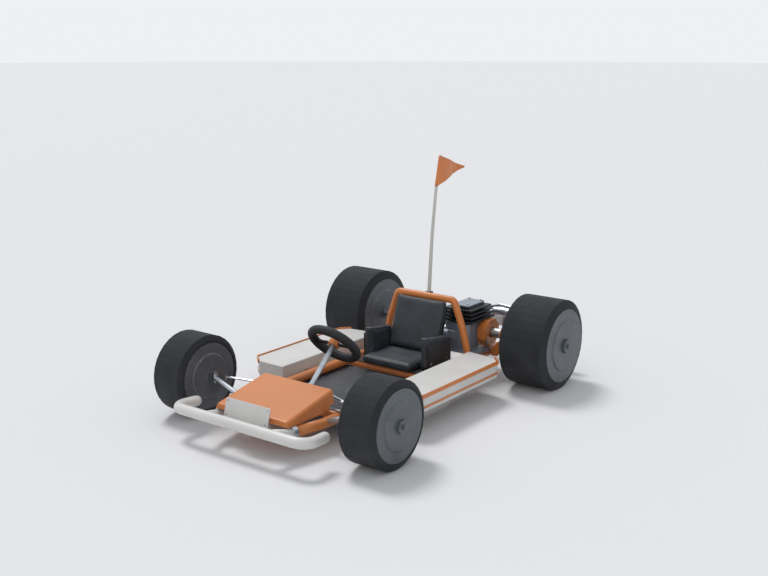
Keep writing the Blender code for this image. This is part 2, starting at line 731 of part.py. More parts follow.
def pod_outline(grow):
    """The outer side of a left pod in plan, front inner corner to rear inner corner, grown outward."""
    front = POD_FRONT_Y - grow
    rear = POD_REAR_Y + grow
    outer = POD_OUTER_X + grow
    return [
        (POD_INNER_X, front),
        (outer - POD_CORNER_FRONT, front + POD_FRONT_STEP),
        (outer, front + POD_CORNER_FRONT),
        (outer, rear - POD_CORNER_REAR - POD_TAIL_STEP),
        (outer - POD_CORNER_REAR, rear - POD_TAIL_STEP),
        (POD_INNER_X, rear),
    ]


def prism(outline, low, high):
    """A plan outline raised between two heights."""
    return plate(outline, high - low, Matrix.Translation((0, 0, (low + high) / 2)))


def mirrored_outline(outline, side):
    return [(side * across, along) for across, along in outline][::side]


def pod_band(side, inner, outer, low, high):
    """A strip that follows the outside of a pod between two offsets from it."""
    band = pod_outline(outer)[1:-1]
    back = pod_outline(inner)[1:-1]
    return prism(mirrored_outline(band + back[::-1], side), low, high)


def side_pod(word, side):
    """A hollow pod, open below, with a raised stripe along its outer side."""
    wall = POD_WALL
    piece = prism(mirrored_outline(pod_outline(0), side), POD_BOTTOM_Z, POD_TOP_Z)
    rounding = piece.modifiers.new("rounding", "BEVEL")
    rounding.width = POD_BEVEL
    rounding.segments = 2
    rounding.limit_method = "ANGLE"
    rounding.angle_limit = math.radians(60)
    piece = as_mesh(piece)
    joined(piece, pod_band(side, -0.002, STRIPE_PROUD, STRIPE_BOTTOM_Z, STRIPE_TOP_Z))
    shrunk = pod_outline(-wall)
    hollow = [(across + (wall if across == POD_INNER_X else 0), along) for across, along in shrunk]
    cut(piece, prism(mirrored_outline(hollow, side), POD_BOTTOM_Z - 0.02, POD_TOP_Z - wall))
    return smooth(finish(piece, f"side_pod_{word}", "pod_plastic"), 30)


def pod_top_trim(word, side):
    piece = pod_band(side, SEAT_GAP, TRIM_PROUD, TRIM_BOTTOM_Z, TRIM_TOP_Z)
    return finish(piece, f"pod_top_trim_{word}", "nose_plastic")


# Seat
SEAT_PAN_Z = SEAT_CROSS_Z + CROSS_RADIUS + SEAT_GAP
SEAT_SHEET = 0.003
SEAT_HALF = 0.1675
SEAT_FRONT_FROM_AXLE = -0.570
SEAT_FRONT_Y = REAR_AXLE_Y + SEAT_FRONT_FROM_AXLE
SEAT_BASE_REAR_FROM_AXLE = -0.328
SEAT_BASE_REAR_Y = REAR_AXLE_Y + SEAT_BASE_REAR_FROM_AXLE
SEAT_BASE_TOP_Z = 0.162
BOLSTER_X = (0.1515, 0.1955)
BOLSTER_FROM_AXLE = (-0.490, -0.288)
BOLSTER_Y = tuple(REAR_AXLE_Y + behind for behind in BOLSTER_FROM_AXLE)
SHEET_FROM_AXLE = (-0.540, -0.275)       # the seat's bottom sheet
SIDE_SHEET_FROM_AXLE = (-0.478, -0.278)
SIDE_SHEET_DROP = 0.016
BOLSTER_TOP_Z = 0.293
BOLSTER_DROP = 0.028
BACK_HALF = 0.150
BACK_TILT = math.radians(17.5)
BACK_FOOT_FROM_AXLE = -0.3465
BACK_FOOT_Z = 0.1660
BACK_FOOT = (REAR_AXLE_Y + BACK_FOOT_FROM_AXLE, BACK_FOOT_Z)    # the back pad's front lower edge
BACK_LENGTH = 0.262
BACK_THICKNESS = 0.034
SHELL_TOP_Z = 0.380


def pad(size, rise=0.006, draw=0.02, cuts=3, flat_face=-1):
    """A crowned cushion about its own centre: its faces swell, its sides draw in, and one face stays flat."""
    mesh = bpy.data.meshes.new("pad")
    work = bmesh.new()
    bmesh.ops.create_cube(work, size=2.0)
    bmesh.ops.subdivide_edges(work, edges=work.edges, cuts=cuts, use_grid_fill=True)
    crease = work.edges.layers.float.new("crease_edge")
    for edge in work.edges:
        ends = [corner.co for corner in edge.verts]
        rims = [max(abs(co.x), abs(co.y)) > 0.999 for co in ends]
        if all(co.z * flat_face > 0.999 for co in ends) and all(rims):
            edge[crease] = 1.0
    half = Vector(size) / 2
    for corner in work.verts:
        across, along, up = corner.co
        if up * flat_face < -0.999:
            lift = rise * (1 - across * across) * (1 - along * along)
        else:
            lift = 0.0
        side_pull = 1 - draw * (1 - along * along) * abs(across)
        end_pull = 1 - draw * (1 - across * across) * abs(along)
        corner.co = (
            across * half.x * side_pull,
            along * half.y * end_pull,
            up * half.z - flat_face * lift,
        )
    work.to_mesh(mesh)
    work.free()
    piece = bpy.data.objects.new("pad", mesh)
    bpy.context.scene.collection.objects.link(piece)
    soft = piece.modifiers.new("soft", "SUBSURF")
    soft.levels = 1
    soft.render_levels = 1
    return piece


def seat_base():
    low = SEAT_PAN_Z + SEAT_SHEET + SEAT_GAP
    height = SEAT_BASE_TOP_Z - low
    depth = SEAT_BASE_REAR_Y - SEAT_FRONT_Y
    piece = pad((2 * SEAT_HALF - 0.035, depth, height), 0.006)
    piece.location = (0, (SEAT_FRONT_Y + SEAT_BASE_REAR_Y) / 2, low + height / 2)
    return smooth(finish(piece, "seat_base", "seat_vinyl"), 60)


def back_place(along, out):
    """A point of the back pad's middle plane: up its length from its foot, and out behind its front face."""
    foot_y, foot_z = BACK_FOOT
    return Vector((
        0,
        foot_y + along * math.sin(BACK_TILT) + out * math.cos(BACK_TILT),
        foot_z + along * math.cos(BACK_TILT) - out * math.sin(BACK_TILT),
    ))


def seat_back():
    """The back pad, its flat face to the shell behind it."""
    piece = pad((2 * BACK_HALF, BACK_LENGTH, BACK_THICKNESS), 0.006)
    across = Vector((1, 0, 0))
    up = (back_place(1, 0) - back_place(0, 0)).normalized()
    piece.matrix_world = facing(back_place(BACK_LENGTH / 2, BACK_THICKNESS / 2), across, up)
    return smooth(finish(piece, "seat_back", "seat_vinyl"), 60)


def seat_bolster(word, side):
    """An upright side pad whose top falls towards the back, its flat face to the seat's shell."""
    low = SEAT_PAN_Z + SEAT_SHEET + SEAT_GAP
    thickness = BOLSTER_X[1] - BOLSTER_X[0] - SEAT_SHEET - SEAT_GAP
    size = (BOLSTER_TOP_Z - low, BOLSTER_Y[1] - BOLSTER_Y[0], thickness)
    piece = pad(size, 0.004, 0.015, 2, 1)
    for corner in piece.data.vertices:
        if corner.co.x > 0:
            corner.co.x -= BOLSTER_DROP * (0.5 - side * corner.co.y / size[1])
    middle_x = BOLSTER_X[0] + size[2] / 2
    centre = (side * middle_x, (BOLSTER_Y[0] + BOLSTER_Y[1]) / 2, low + size[0] / 2)
    up = Vector((0, 0, 1))
    piece.matrix_world = facing(centre, up, (0, -side, 0))
    return smooth(finish(piece, f"seat_bolster_{word}", "seat_vinyl"), 60)


def seat_pan():
    """The shell: a bottom sheet on the cross tube, two side sheets and a sheet behind the back pad."""
    inner = BOLSTER_X[1]
    low = SEAT_PAN_Z
    front, rear = (REAR_AXLE_Y + behind for behind in SHEET_FROM_AXLE)
    bottom = box((-inner, front, low), (inner, rear, low + SEAT_SHEET))
    front, rear = (REAR_AXLE_Y + behind for behind in SIDE_SHEET_FROM_AXLE)
    top = BOLSTER_TOP_Z - BOLSTER_DROP - SIDE_SHEET_DROP
    for _word, side in both_sides():
        ends = sorted((side * inner, side * (inner - SEAT_SHEET)))
        joined(bottom, box((ends[0], front, low), (ends[1], rear, top)))
    behind = BACK_THICKNESS + SEAT_GAP + SEAT_SHEET / 2
    start, end = (
        (height - back_place(0, behind).z) / math.cos(BACK_TILT)
        for height in (low + SEAT_SHEET / 2, SHELL_TOP_Z)
    )
    up = (back_place(1, 0) - back_place(0, 0)).normalized()
    outline = [(-BACK_HALF, start), (BACK_HALF, start), (BACK_HALF, end), (-BACK_HALF, end)]
    joined(bottom, plate(outline, SEAT_SHEET, facing(back_place(0, behind), (1, 0, 0), up)))
    return smooth(finish(bottom, "seat_pan", "seat_shell"))


# Hoop and flag
HOOP_RADIUS = 0.018
HOOP_FROM_AXLE = (
    (0.172, -0.218, 0.421), (0.222, -0.214, 0.280),
    (0.2475, -0.210, 0.175), (0.245, -0.210, 0.122),
)
HOOP_TOP, *HOOP_LEG = ((x, REAR_AXLE_Y + behind, z) for x, behind, z in HOOP_FROM_AXLE)
HOOP_BEND = 0.030
POLE_RADIUS = 0.010
POLE_TIP_SHARE = 0.7
FLAG_LENGTH = 0.226
FLAG_TOP_Z = 1.1147
FLAG_HEIGHT = 0.1478
FLAG_FOOT_Z = FLAG_TOP_Z - FLAG_HEIGHT
FLAG_TIP_DROP = 0.0721
FLAG_TIP_Z = FLAG_TOP_Z - FLAG_TIP_DROP
POLE_FOOT_Z = 0.375
POLE_PAST_FLAG = 0.0053
POLE_FROM_AXLE = (-0.1930, -0.1886, -0.1669, -0.1359, -0.0992)
POLE_RISE = (0.0, 0.0525, 0.3437, 0.5833, 0.7450)
POLE_STRETCH = (FLAG_TOP_Z + POLE_PAST_FLAG - POLE_FOOT_Z) / POLE_RISE[-1]
POLE_LINE = tuple(
    (REAR_AXLE_Y + behind, POLE_FOOT_Z + rise * POLE_STRETCH)
    for behind, rise in zip(POLE_FROM_AXLE, POLE_RISE)
)
FLAG_THICKNESS = 0.0018
FLAG_WAVE = 0.010


def hoop_route():
    left = [HOOP_TOP, *HOOP_LEG]
    right = [(-x, y, z) for x, y, z in left]
    return rounded(right[::-1] + left, HOOP_BEND, 4)


def seat_hoop():
    """The bent tube behind the seat, its feet coped onto the rails."""
    piece = solid_tube(hoop_route(), HOOP_RADIUS, 10)
    cut(piece, rail_cutter(1), rail_cutter(-1))
    return smooth(finish(piece, "seat_hoop", "orange_paint"))


def pole_y(height):
    """Where the pole's centre line stands at a height."""
    for (low_y, low_z), (high_y, high_z) in zip(POLE_LINE, POLE_LINE[1:]):
        if height <= high_z:
            break
    return low_y + (high_y - low_y) * (height - low_z) / (high_z - low_z)


def pole_tube(grow=0.0):
    points = [(0, along, up) for along, up in POLE_LINE]
    top = POLE_LINE[-1][1]
    base = POLE_LINE[0][1]
    shares = [1 - (1 - POLE_TIP_SHARE) * (up - base) / (top - base) for _along, up in POLE_LINE]
    return tube(points, POLE_RADIUS + grow, 10, radii=shares)


def flag_pole():
    return smooth(finish(as_mesh(pole_tube()), "flag_pole", "pole_fibreglass"))


def flag_clamp():
    """The block that holds the pole against the back of the hoop."""
    top = HOOP_TOP[2]
    low = (-0.016, HOOP_TOP[1] + 0.008, top - 0.016)
    high = (0.016, pole_y(top) + POLE_RADIUS + 0.006, top + 0.016)
    piece = box(low, high, 0.002)
    piece = as_mesh(piece)
    bar = solid_tube(hoop_route(), HOOP_RADIUS + SEAT_GAP, 10)
    cut(piece, bar, as_mesh(pole_tube(SEAT_GAP)))
    return smooth(finish(piece, "flag_clamp", "fin_black"))


def flag():
    """A three-cornered pennant with a slow wave, sewn along the pole."""
    mesh = bpy.data.meshes.new("flag")
    work = bmesh.new()
    bmesh.ops.create_grid(work, x_segments=12, y_segments=4, size=1.0)
    tip_radius = POLE_RADIUS * POLE_TIP_SHARE + 0.0012
    for corner in work.verts:
        out = (corner.co.x + 1) / 2
        share = (corner.co.y + 1) / 2
        hoist_z = FLAG_FOOT_Z + share * (FLAG_TOP_Z - FLAG_FOOT_Z)
        taper = 1 - 0.97 * out
        height = FLAG_TIP_Z + (hoist_z - FLAG_TIP_Z) * taper
        hoist_y = pole_y(hoist_z) + tip_radius
        tip_y = pole_y(FLAG_TIP_Z) + tip_radius + FLAG_LENGTH
        wave = FLAG_WAVE * math.sin(2.2 * math.pi * out) * out ** 0.5
        corner.co = (wave, hoist_y + (tip_y - hoist_y) * out, height)
    work.to_mesh(mesh)
    work.free()
    piece = bpy.data.objects.new("flag", mesh)
    bpy.context.scene.collection.objects.link(piece)
    cloth = piece.modifiers.new("cloth", "SOLIDIFY")
    cloth.thickness = FLAG_THICKNESS
    cloth.offset = 0
    return smooth(finish(as_mesh(piece), "flag", "flag_cloth"))


# Steering
COLUMN_AXIS = Vector((0, math.sin(COLUMN_TILT), math.cos(COLUMN_TILT)))
COLUMN_DOWN = Vector((0, math.cos(COLUMN_TILT), -math.sin(COLUMN_TILT)))
ACROSS = Vector((1, 0, 0))
HUB_RADIUS = 0.030
HUB_HEIGHT = (-0.012, 0.012)
HUB_CAP = 0.006
SPOKE_WIDTH = 0.026
SPOKE_THICKNESS = 0.007
BEARING_RADIUS = 0.018
BEARING_LENGTH = 0.024
PITMAN_END_RADII = (0.018, 0.009)
BRACKET_LEG_HALF = (0.010, 0.013)
BRACKET_BASE_HALF = (0.030, 0.022)
BRACKET_BASE_THICKNESS = 0.004
BRACKET_FLOOR = 0.005


def column_point(down, drop=0.0):
    """A point on the column's axis at a distance down from the wheel's centre, dropped square to it."""
    return Vector(WHEEL_CENTRE) - COLUMN_AXIS * down + COLUMN_DOWN * drop


def bore_radius(radius, sides):
    """The corner radius of a faceted bore whose flats clear the radius."""
    return radius / math.cos(math.pi / sides)


def steering_rim():
    """The ring and its two flat spokes, which end at the hub."""
    bpy.ops.mesh.primitive_torus_add(
        major_segments=STEER_RING_STEPS, minor_segments=10,
        major_radius=STEER_RING_RADIUS, minor_radius=STEER_TUBE_RADIUS,
    )
    ring = bpy.context.object
    place = facing(Vector(WHEEL_CENTRE), ACROSS, -COLUMN_DOWN)
    ring.matrix_world = place
    hub_flat = HUB_RADIUS * math.cos(math.pi / 8) + SEAT_GAP
    for _word, side in both_sides():
        ends = sorted((side * hub_flat, side * STEER_RING_RADIUS))
        half = (SPOKE_WIDTH / 2, SPOKE_THICKNESS / 2)
        spoke = box((ends[0], -half[0], -half[1]), (ends[1], half[0], half[1]))
        spoke.data.transform(Matrix.Translation(spoke.location))
        spoke.matrix_world = place
        joined(ring, spoke)
    return smooth(finish(ring, "steering_rim", "grip_rubber"))


def steering_hub():
    """An eight-sided hub with a blind bore for the column's tip."""
    low, high = HUB_HEIGHT
    piece = cylinder(column_point(-low), column_point(-high), HUB_RADIUS, 8, math.pi / 8)
    bore = bore_radius(COLUMN_RADIUS + SEAT_GAP, 16)
    blind = cylinder(column_point(-low + 0.01), column_point(HUB_CAP - high), bore, 16)
    cut(piece, blind)
    return finish(piece, "steering_hub", "orange_paint")


def steering_column():
    """The column with its drop arm and the pin that both tie rods turn on."""
    top = column_point(HUB_CAP + SEAT_GAP - HUB_HEIGHT[1])
    piece = cylinder(column_point(COLUMN_FOOT), top, COLUMN_RADIUS, 16)
    root, tip = PITMAN_END_RADII
    outline = arc((0, 0), root, 0, 180, 6) + arc((0, -PITMAN_LENGTH), tip, 180, 360, 6)
    arm = plate(outline, PITMAN_PLATE, facing(column_point(PITMAN_AT), ACROSS, -COLUMN_DOWN))
    reach = PITMAN_PLATE / 2 + SEAT_GAP + LINK_EYE_THICKNESS + 0.002
    upper = PITMAN_AT - reach - LINK_SPACER
    pin_ends = (column_point(PITMAN_AT + reach, PITMAN_LENGTH), column_point(upper, PITMAN_LENGTH))
    collar_top = PITMAN_AT - PITMAN_PLATE / 2 - LINK_SPACER
    collar_ends = (column_point(PITMAN_AT, PITMAN_LENGTH), column_point(collar_top, PITMAN_LENGTH))
    collar = cylinder(*collar_ends, LINK_COLLAR_RADIUS, 12)
    joined(piece, arm, cylinder(*pin_ends, LINK_PIN_RADIUS, 12), collar)
    return smooth(finish(piece, "steering_column", "chrome"))


def column_bracket():
    """A foot on the floor pan with the bearing that the column turns in."""
    foot = column_point(COLUMN_FOOT + SIDE_PLAY)
    end = column_point(COLUMN_FOOT + SIDE_PLAY + BRACKET_FLOOR)
    barrel = cylinder(column_point(COLUMN_FOOT - BEARING_LENGTH), end, BEARING_RADIUS, 16)
    middle = column_point(COLUMN_FOOT - BEARING_LENGTH / 2 + 0.006)
    pan_top = RAIL_Z - RAIL_RADIUS
    half_x, half_y = BRACKET_LEG_HALF
    leg = box((-half_x, middle.y - half_y, pan_top), (half_x, middle.y + half_y, middle.z))
    half_x, half_y = BRACKET_BASE_HALF
    base_top = pan_top + BRACKET_BASE_THICKNESS
    base = box((-half_x, middle.y - half_y, pan_top), (half_x, middle.y + half_y, base_top))
    joined(leg, base, barrel)
    mouth = column_point(COLUMN_FOOT - BEARING_LENGTH - 0.004)
    cut(leg, cylinder(mouth, foot, bore_radius(COLUMN_RADIUS + RUNNING_GAP, 16), 16))
    return smooth(finish(leg, "column_bracket", "orange_paint"))


# Kingpins and knuckles
BOSS_RADIUS = KNUCKLE_WEB_X[0] - KINGPIN_X - 0.001
BOSS_HALF = 0.020
LUG_THICKNESS = 0.006
LUG_INNER = 0.008
FRONT_WHEEL_Z = FRONT_TYRE_RADIUS
LUG_LOW_TOP = FRONT_WHEEL_Z - BOSS_HALF - SIDE_PLAY
ARM_INNER_Z = 0.1240
ARM_SLOPE = 0.354


def front_axle_arm(word, side):
    """A chrome tube from the rail to the kingpin's boss."""
    inner = Vector((side * RAIL_X, FRONT_AXLE_Y, ARM_INNER_Z))
    outer = Vector((side * KINGPIN_X, FRONT_AXLE_Y, ARM_INNER_Z + ARM_SLOPE * (KINGPIN_X - RAIL_X)))
    piece = cylinder(inner, outer, ARM_RADIUS, TUBE_SIDES)
    top = Vector((side * KINGPIN_X, FRONT_AXLE_Y, FRONT_WHEEL_Z + BOSS_HALF))
    bottom = Vector((side * KINGPIN_X, FRONT_AXLE_Y, FRONT_WHEEL_Z - BOSS_HALF))
    margin = Vector((0, 0, 0.01))
    joined(piece, cylinder(bottom, top, BOSS_RADIUS, 16))
    bore = bore_radius(KINGPIN_RADIUS + RUNNING_GAP, 16)
    cut(piece, cylinder(bottom - margin, top + margin, bore, 16), rail_cutter(side))
    return smooth(finish(piece, f"front_axle_arm_{word}", "chrome"))


def steering_knuckle(word, side):
    """A yoke round the kingpin's boss with its pin, the stub axle and the steering arm with its stud."""
    def across(low, high):
        return sorted((side * low, side * high))

    web = across(*KNUCKLE_WEB_X)
    lugs = across(KINGPIN_X - LUG_INNER, KNUCKLE_WEB_X[1] - 0.001)
    width = 0.011
    top = FRONT_WHEEL_Z + BOSS_HALF + SIDE_PLAY
    low = LUG_LOW_TOP
    y = FRONT_AXLE_Y
    piece = box((web[0], y - 0.014, low - LUG_THICKNESS), (web[1], y + 0.014, top + LUG_THICKNESS))
    joined(
        piece,
        box((lugs[0], y - width, top), (lugs[1], y + width, top + LUG_THICKNESS)),
        box((lugs[0], y - width, low - LUG_THICKNESS), (lugs[1], y + width, low)),
    )
    pin = [(side * KINGPIN_X, y, z) for z in (low - LUG_THICKNESS - 0.003, top + LUG_THICKNESS + 0.003)]
    stub_tip = FRONT_TYRE_OUTER_X + FRONT_HUB_OUTWARD - AXLE_CAP - SIDE_PLAY
    stub = [(side * x, y, FRONT_WHEEL_Z) for x in (KNUCKLE_WEB_X[0] + 0.004, stub_tip)]
    joined(piece, cylinder(*pin, KINGPIN_RADIUS, 12), cylinder(*stub, STUB_RADIUS, 16))
    outline = arc((0, 0), 0.010, 180, 360, 6) + arc((0, KNUCKLE_ARM), 0.008, 0, 180, 6)
    middle = Vector((side * KINGPIN_X, y, low - LUG_THICKNESS / 2))
    arm = plate(outline, LUG_THICKNESS - 0.001, facing(middle, ACROSS, (0, 1, 0)))
    tip = y + KNUCKLE_ARM
    stud_top = low + LINK_EYE_THICKNESS + 0.006
    stud_ends = [(side * KINGPIN_X, tip, z) for z in (low - 0.004, stud_top)]
    stud = cylinder(*stud_ends, LINK_PIN_RADIUS, 12)
    joined(piece, arm, stud)
    return smooth(finish(piece, f"steering_knuckle_{word}", "steel"))


def tie_rod(word, side):
    """A thin rod with an eye at each end: one on the drop arm's pin, one on the knuckle's stud."""
    stack = PITMAN_PLATE / 2 + SEAT_GAP + LINK_EYE_THICKNESS / 2 + (LINK_SPACER if side > 0 else 0)
    inner = column_point(PITMAN_AT - side * stack, PITMAN_LENGTH)
    arm_top = LUG_LOW_TOP - 0.0005
    eye_z = arm_top + SEAT_GAP + LINK_EYE_THICKNESS / 2
    outer = Vector((side * KINGPIN_X, FRONT_AXLE_Y + KNUCKLE_ARM, eye_z))
    half = LINK_EYE_THICKNESS / 2
    up = Vector((0, 0, 1))
    run = (outer - inner).normalized()
    piece = cylinder(inner + run * 0.008, outer - run * 0.008, TIE_ROD_RADIUS, SMALL_TUBE_SIDES)
    inner_eye = cylinder(inner - COLUMN_AXIS * half, inner + COLUMN_AXIS * half, LINK_EYE_RADIUS, 12)
    outer_eye = cylinder(outer - up * half, outer + up * half, LINK_EYE_RADIUS, 12)
    joined(piece, inner_eye, outer_eye)
    inner_bore = bore_radius(LINK_PIN_RADIUS + RUNNING_GAP, 12)
    outer_bore = bore_radius(LINK_PIN_RADIUS + LINK_PLAY, 12)
    cut(
        piece,
        cylinder(inner - COLUMN_AXIS * 0.02, inner + COLUMN_AXIS * 0.02, inner_bore, 12),
        cylinder(outer - up * 0.02, outer + up * 0.02, outer_bore, 12),
    )
    return smooth(finish(piece, f"tie_rod_{word}", "chrome"))


# Rear axle, drive and brake
AXLE_Z = REAR_TYRE_RADIUS
AXLE_TIP_X = REAR_TYRE_OUTER_X + REAR_HUB_OUTWARD - AXLE_CAP - SEAT_GAP
CHAIN_X = 0.026
SPROCKET_HUB_RADIUS = 0.036
SPROCKET_HUB_REACH = 0.022
CLUTCH_BELL_RADIUS = 0.038
CLUTCH_BELL_REACH = (0.008, 0.028)
SPROCKET_THICKNESS = 0.005
SPROCKET_RADIUS = 0.062
CLUTCH_SPROCKET_RADIUS = 0.020
CLUTCH_NECK_STEP = 0.004
CHAIN_HEIGHT = 0.007
CHAIN_WIDTH = 0.010
CRANK_FROM_AXLE = -0.090
CRANK_Y = REAR_AXLE_Y + CRANK_FROM_AXLE
CRANK_Z = 0.212
CRANK_RADIUS = 0.010
DRUM_X = (0.219, 0.257)
DRUM_RADIUS = 0.059
DRUM_WALL = 0.005
DRUM_WEB_HALF = 0.003
DRUM_HUB_RADIUS = 0.034
HOUSING_X = (0.2155, 0.2650)
HOUSING_RADIUS = 0.0710
HOUSING_WALL = 0.004
HOUSING_BORE_GAP = 0.003
HOUSING_FOOT_X = (0.228, 0.258)
HOUSING_FOOT_HALF = 0.014
HANGER_X = (0.330, 0.352)
HANGER_RADIUS = 0.042
GUSSET_THICKNESS = 0.014
GUSSET_LINE = ((0.300, 0.102), (0.348, 0.168), (0.348, 0.192), (0.318, 0.192))
GUSSET_ROOT_Z = (0.100, 0.139)


def across_axle(x, y=REAR_AXLE_Y, z=AXLE_Z):
    """Lays a turned solid's +Z along +X."""
    return Matrix.Translation((x, y, z)) @ Matrix.Rotation(math.pi / 2, 4, "Y")


def rear_axle():
    ends = [(x, REAR_AXLE_Y, AXLE_Z) for x in (-AXLE_TIP_X, AXLE_TIP_X)]
    return smooth(finish(cylinder(*ends, AXLE_RADIUS, 24), "rear_axle", "chrome"))


def axle_sprocket():
    """The driven sprocket on its hub."""
    bore = bore_radius(AXLE_RADIUS + SEAT_GAP, 24)
    half = SPROCKET_THICKNESS / 2
    reach = SPROCKET_HUB_REACH
    hub = SPROCKET_HUB_RADIUS
    profile = [(bore, reach), (hub, reach), (hub, half), (SPROCKET_RADIUS, half), (SPROCKET_RADIUS, -half),
               (bore, -half)]
    piece = turned(profile, 20)
    piece.matrix_world = across_axle(CHAIN_X)
    return smooth(finish(piece, "axle_sprocket", "steel"))


def clutch_drum():
    """The clutch's bell and its small sprocket, turning on the crankshaft."""
    bore = bore_radius(CRANK_RADIUS + RUNNING_GAP, 16)
    half = SPROCKET_THICKNESS / 2
    small = CLUTCH_SPROCKET_RADIUS
    low, high = CLUTCH_BELL_REACH
    neck = small - CLUTCH_NECK_STEP
    profile = [(bore, high), (CLUTCH_BELL_RADIUS, high), (CLUTCH_BELL_RADIUS, low), (neck, low), (neck, half),
               (small, half), (small, -half), (bore, -half)]
    piece = turned(profile, 16)
    piece.matrix_world = across_axle(CHAIN_X, CRANK_Y, CRANK_Z)
    return smooth(finish(piece, "clutch_drum", "steel"))


def chain_outline(offset):
    """The loop round both sprockets at an offset from them: two arcs whose straight runs touch both."""
    apart = Vector((REAR_AXLE_Y - CRANK_Y, AXLE_Z - CRANK_Z))
    lean = math.degrees(math.atan2(apart.y, apart.x))
    small = CLUTCH_SPROCKET_RADIUS + offset
    large = SPROCKET_RADIUS + offset
    spread = math.degrees(math.acos((large - small) / apart.length))
    back = arc((REAR_AXLE_Y, AXLE_Z), large, lean - 180 + spread, lean + 180 - spread, 12)
    front = arc((CRANK_Y, CRANK_Z), small, lean + 180 - spread, lean + 180 + spread, 6)
    return back + front


def drive_chain():
    """The chain as one band round both sprockets."""
    clear = 2 * RUNNING_GAP
    place = facing(Vector((CHAIN_X, 0, 0)), (0, 1, 0), (0, 0, 1))
    piece = plate(chain_outline(clear + CHAIN_HEIGHT), CHAIN_WIDTH, place)
    cut(piece, plate(chain_outline(clear), 2 * CHAIN_WIDTH, place))
    return smooth(finish(piece, "drive_chain", "steel"))


def brake_housing():
    """An eight-sided cup round the brake drum, open inwards, with a foot on the rail and a lever stud."""
    hole = bore_radius(AXLE_RADIUS + HOUSING_BORE_GAP, 8)
    low, high = HOUSING_X
    inner = HOUSING_RADIUS - HOUSING_WALL
    floor = high - HOUSING_WALL
    profile = [(hole, high), (HOUSING_RADIUS, high), (HOUSING_RADIUS, low), (inner, low), (inner, floor),
               (hole, floor)]
    piece = turned(profile, 8)
    piece.matrix_world = across_axle(0) @ Matrix.Rotation(math.pi / 8, 4, "Z")
    flat_z = AXLE_Z - HOUSING_RADIUS * math.cos(math.pi / 8)
    foot = box(
        (HOUSING_FOOT_X[0], REAR_AXLE_Y - HOUSING_FOOT_HALF, RAIL_TOP_Z + SEAT_GAP),
        (HOUSING_FOOT_X[1], REAR_AXLE_Y + HOUSING_FOOT_HALF, flat_z + HOUSING_WALL / 2),
    )
    stud_ends = [(x, LEVER_PIVOT_Y, LEVER_PIVOT_Z) for x in (high - 0.002, LEVER_X[1] + 0.002)]
    stud = cylinder(*stud_ends, LINK_PIN_RADIUS, 12)
    joined(piece, foot, stud)
    return smooth(finish(piece, "brake_housing", "orange_paint"), 30)


def brake_drum():
    bore = bore_radius(AXLE_RADIUS + SEAT_GAP, 24)
    low, high = DRUM_X
    web = (low + high) / 2
    hub = DRUM_HUB_RADIUS
    inner = DRUM_RADIUS - DRUM_WALL
    front, back = web + DRUM_WEB_HALF, web - DRUM_WEB_HALF
    profile = [(bore, high), (hub, high), (hub, front), (inner, front), (inner, high), (DRUM_RADIUS, high),
               (DRUM_RADIUS, low), (inner, low), (inner, back), (bore, back)]
    piece = turned(profile, 24)
    piece.matrix_world = across_axle(0)
    return smooth(finish(piece, "brake_drum", "steel"))


def axle_hanger(word, side):
    """A bearing ring for the axle on a gusset that stands out from the rail."""
    bore = bore_radius(AXLE_RADIUS + RUNNING_GAP, 24)
    low, high = HANGER_X
    profile = [(bore, high), (HANGER_RADIUS, high), (HANGER_RADIUS, low), (bore, low)]
    piece = turned(profile, 24)
    piece.matrix_world = across_axle(0 if side > 0 else -(low + high))
    root = RAIL_X + RAIL_RADIUS + SEAT_GAP
    outline = [(root, GUSSET_ROOT_Z[0]), *GUSSET_LINE, (root, GUSSET_ROOT_Z[1])]
    gusset = plate(
        mirrored_outline(outline, side), GUSSET_THICKNESS,
        facing(Vector((0, REAR_AXLE_Y, 0)), ACROSS, (0, 0, 1)),
    )
    joined(piece, gusset)
    return smooth(finish(piece, f"axle_hanger_{word}", "orange_paint"), 30)


# Engine
ENGINE_PLATE_X = (0.055, 0.262)
ENGINE_PLATE_FROM_AXLE = (-0.180, -0.020)
ENGINE_PLATE_Y = tuple(REAR_AXLE_Y + behind for behind in ENGINE_PLATE_FROM_AXLE)
ENGINE_PLATE_THICKNESS = 0.008
ENGINE_PLATE_Z = (RAIL_TOP_Z + SEAT_GAP, RAIL_TOP_Z + SEAT_GAP + ENGINE_PLATE_THICKNESS)
CASE_X = (0.060, 0.208)
CASE_FROM_AXLE = (-0.140, -0.038)
CASE_Y = tuple(REAR_AXLE_Y + behind for behind in CASE_FROM_AXLE)
CASE_CORNER = 0.016
CASE_SPLIT_Z = 0.262
CASE_TOP_Z = 0.280
DECK_REAR_FROM_AXLE = 0.050
DECK_REAR_Y = REAR_AXLE_Y + DECK_REAR_FROM_AXLE
FIN_COUNT = 4
FIN_THICKNESS = 0.009
FIN_FIRST_Z = 0.2915
FIN_PITCH = 0.0187
FIN_CENTRE_X = 0.143
FIN_CENTRE_FROM_AXLE = -0.044
FIN_CENTRE = (FIN_CENTRE_X, REAR_AXLE_Y + FIN_CENTRE_FROM_AXLE)
FIN_HALF_LOW = (0.096, 0.110)
FIN_HALF_HIGH = (0.080, 0.098)
FIN_CORE_HALF = (0.055, 0.070)
FIN_CORE_TOP_Z = 0.3640
PORT_X = (0.130, 0.176)
PORT_Z = (0.3015, 0.3360)
PORT_REAR_FROM_AXLE = 0.078
PORT_REAR_Y = REAR_AXLE_Y + PORT_REAR_FROM_AXLE
HEAD_X = (0.098, 0.196)
HEAD_FROM_AXLE = (-0.122, 0.032)
HEAD_LOW, HEAD_HIGH = ((x, REAR_AXLE_Y + behind) for x, behind in zip(HEAD_X, HEAD_FROM_AXLE))
HEAD_BEVEL = 0.004
HEAD_THICKNESS = 0.011
PIPE_RADIUS = 0.00825
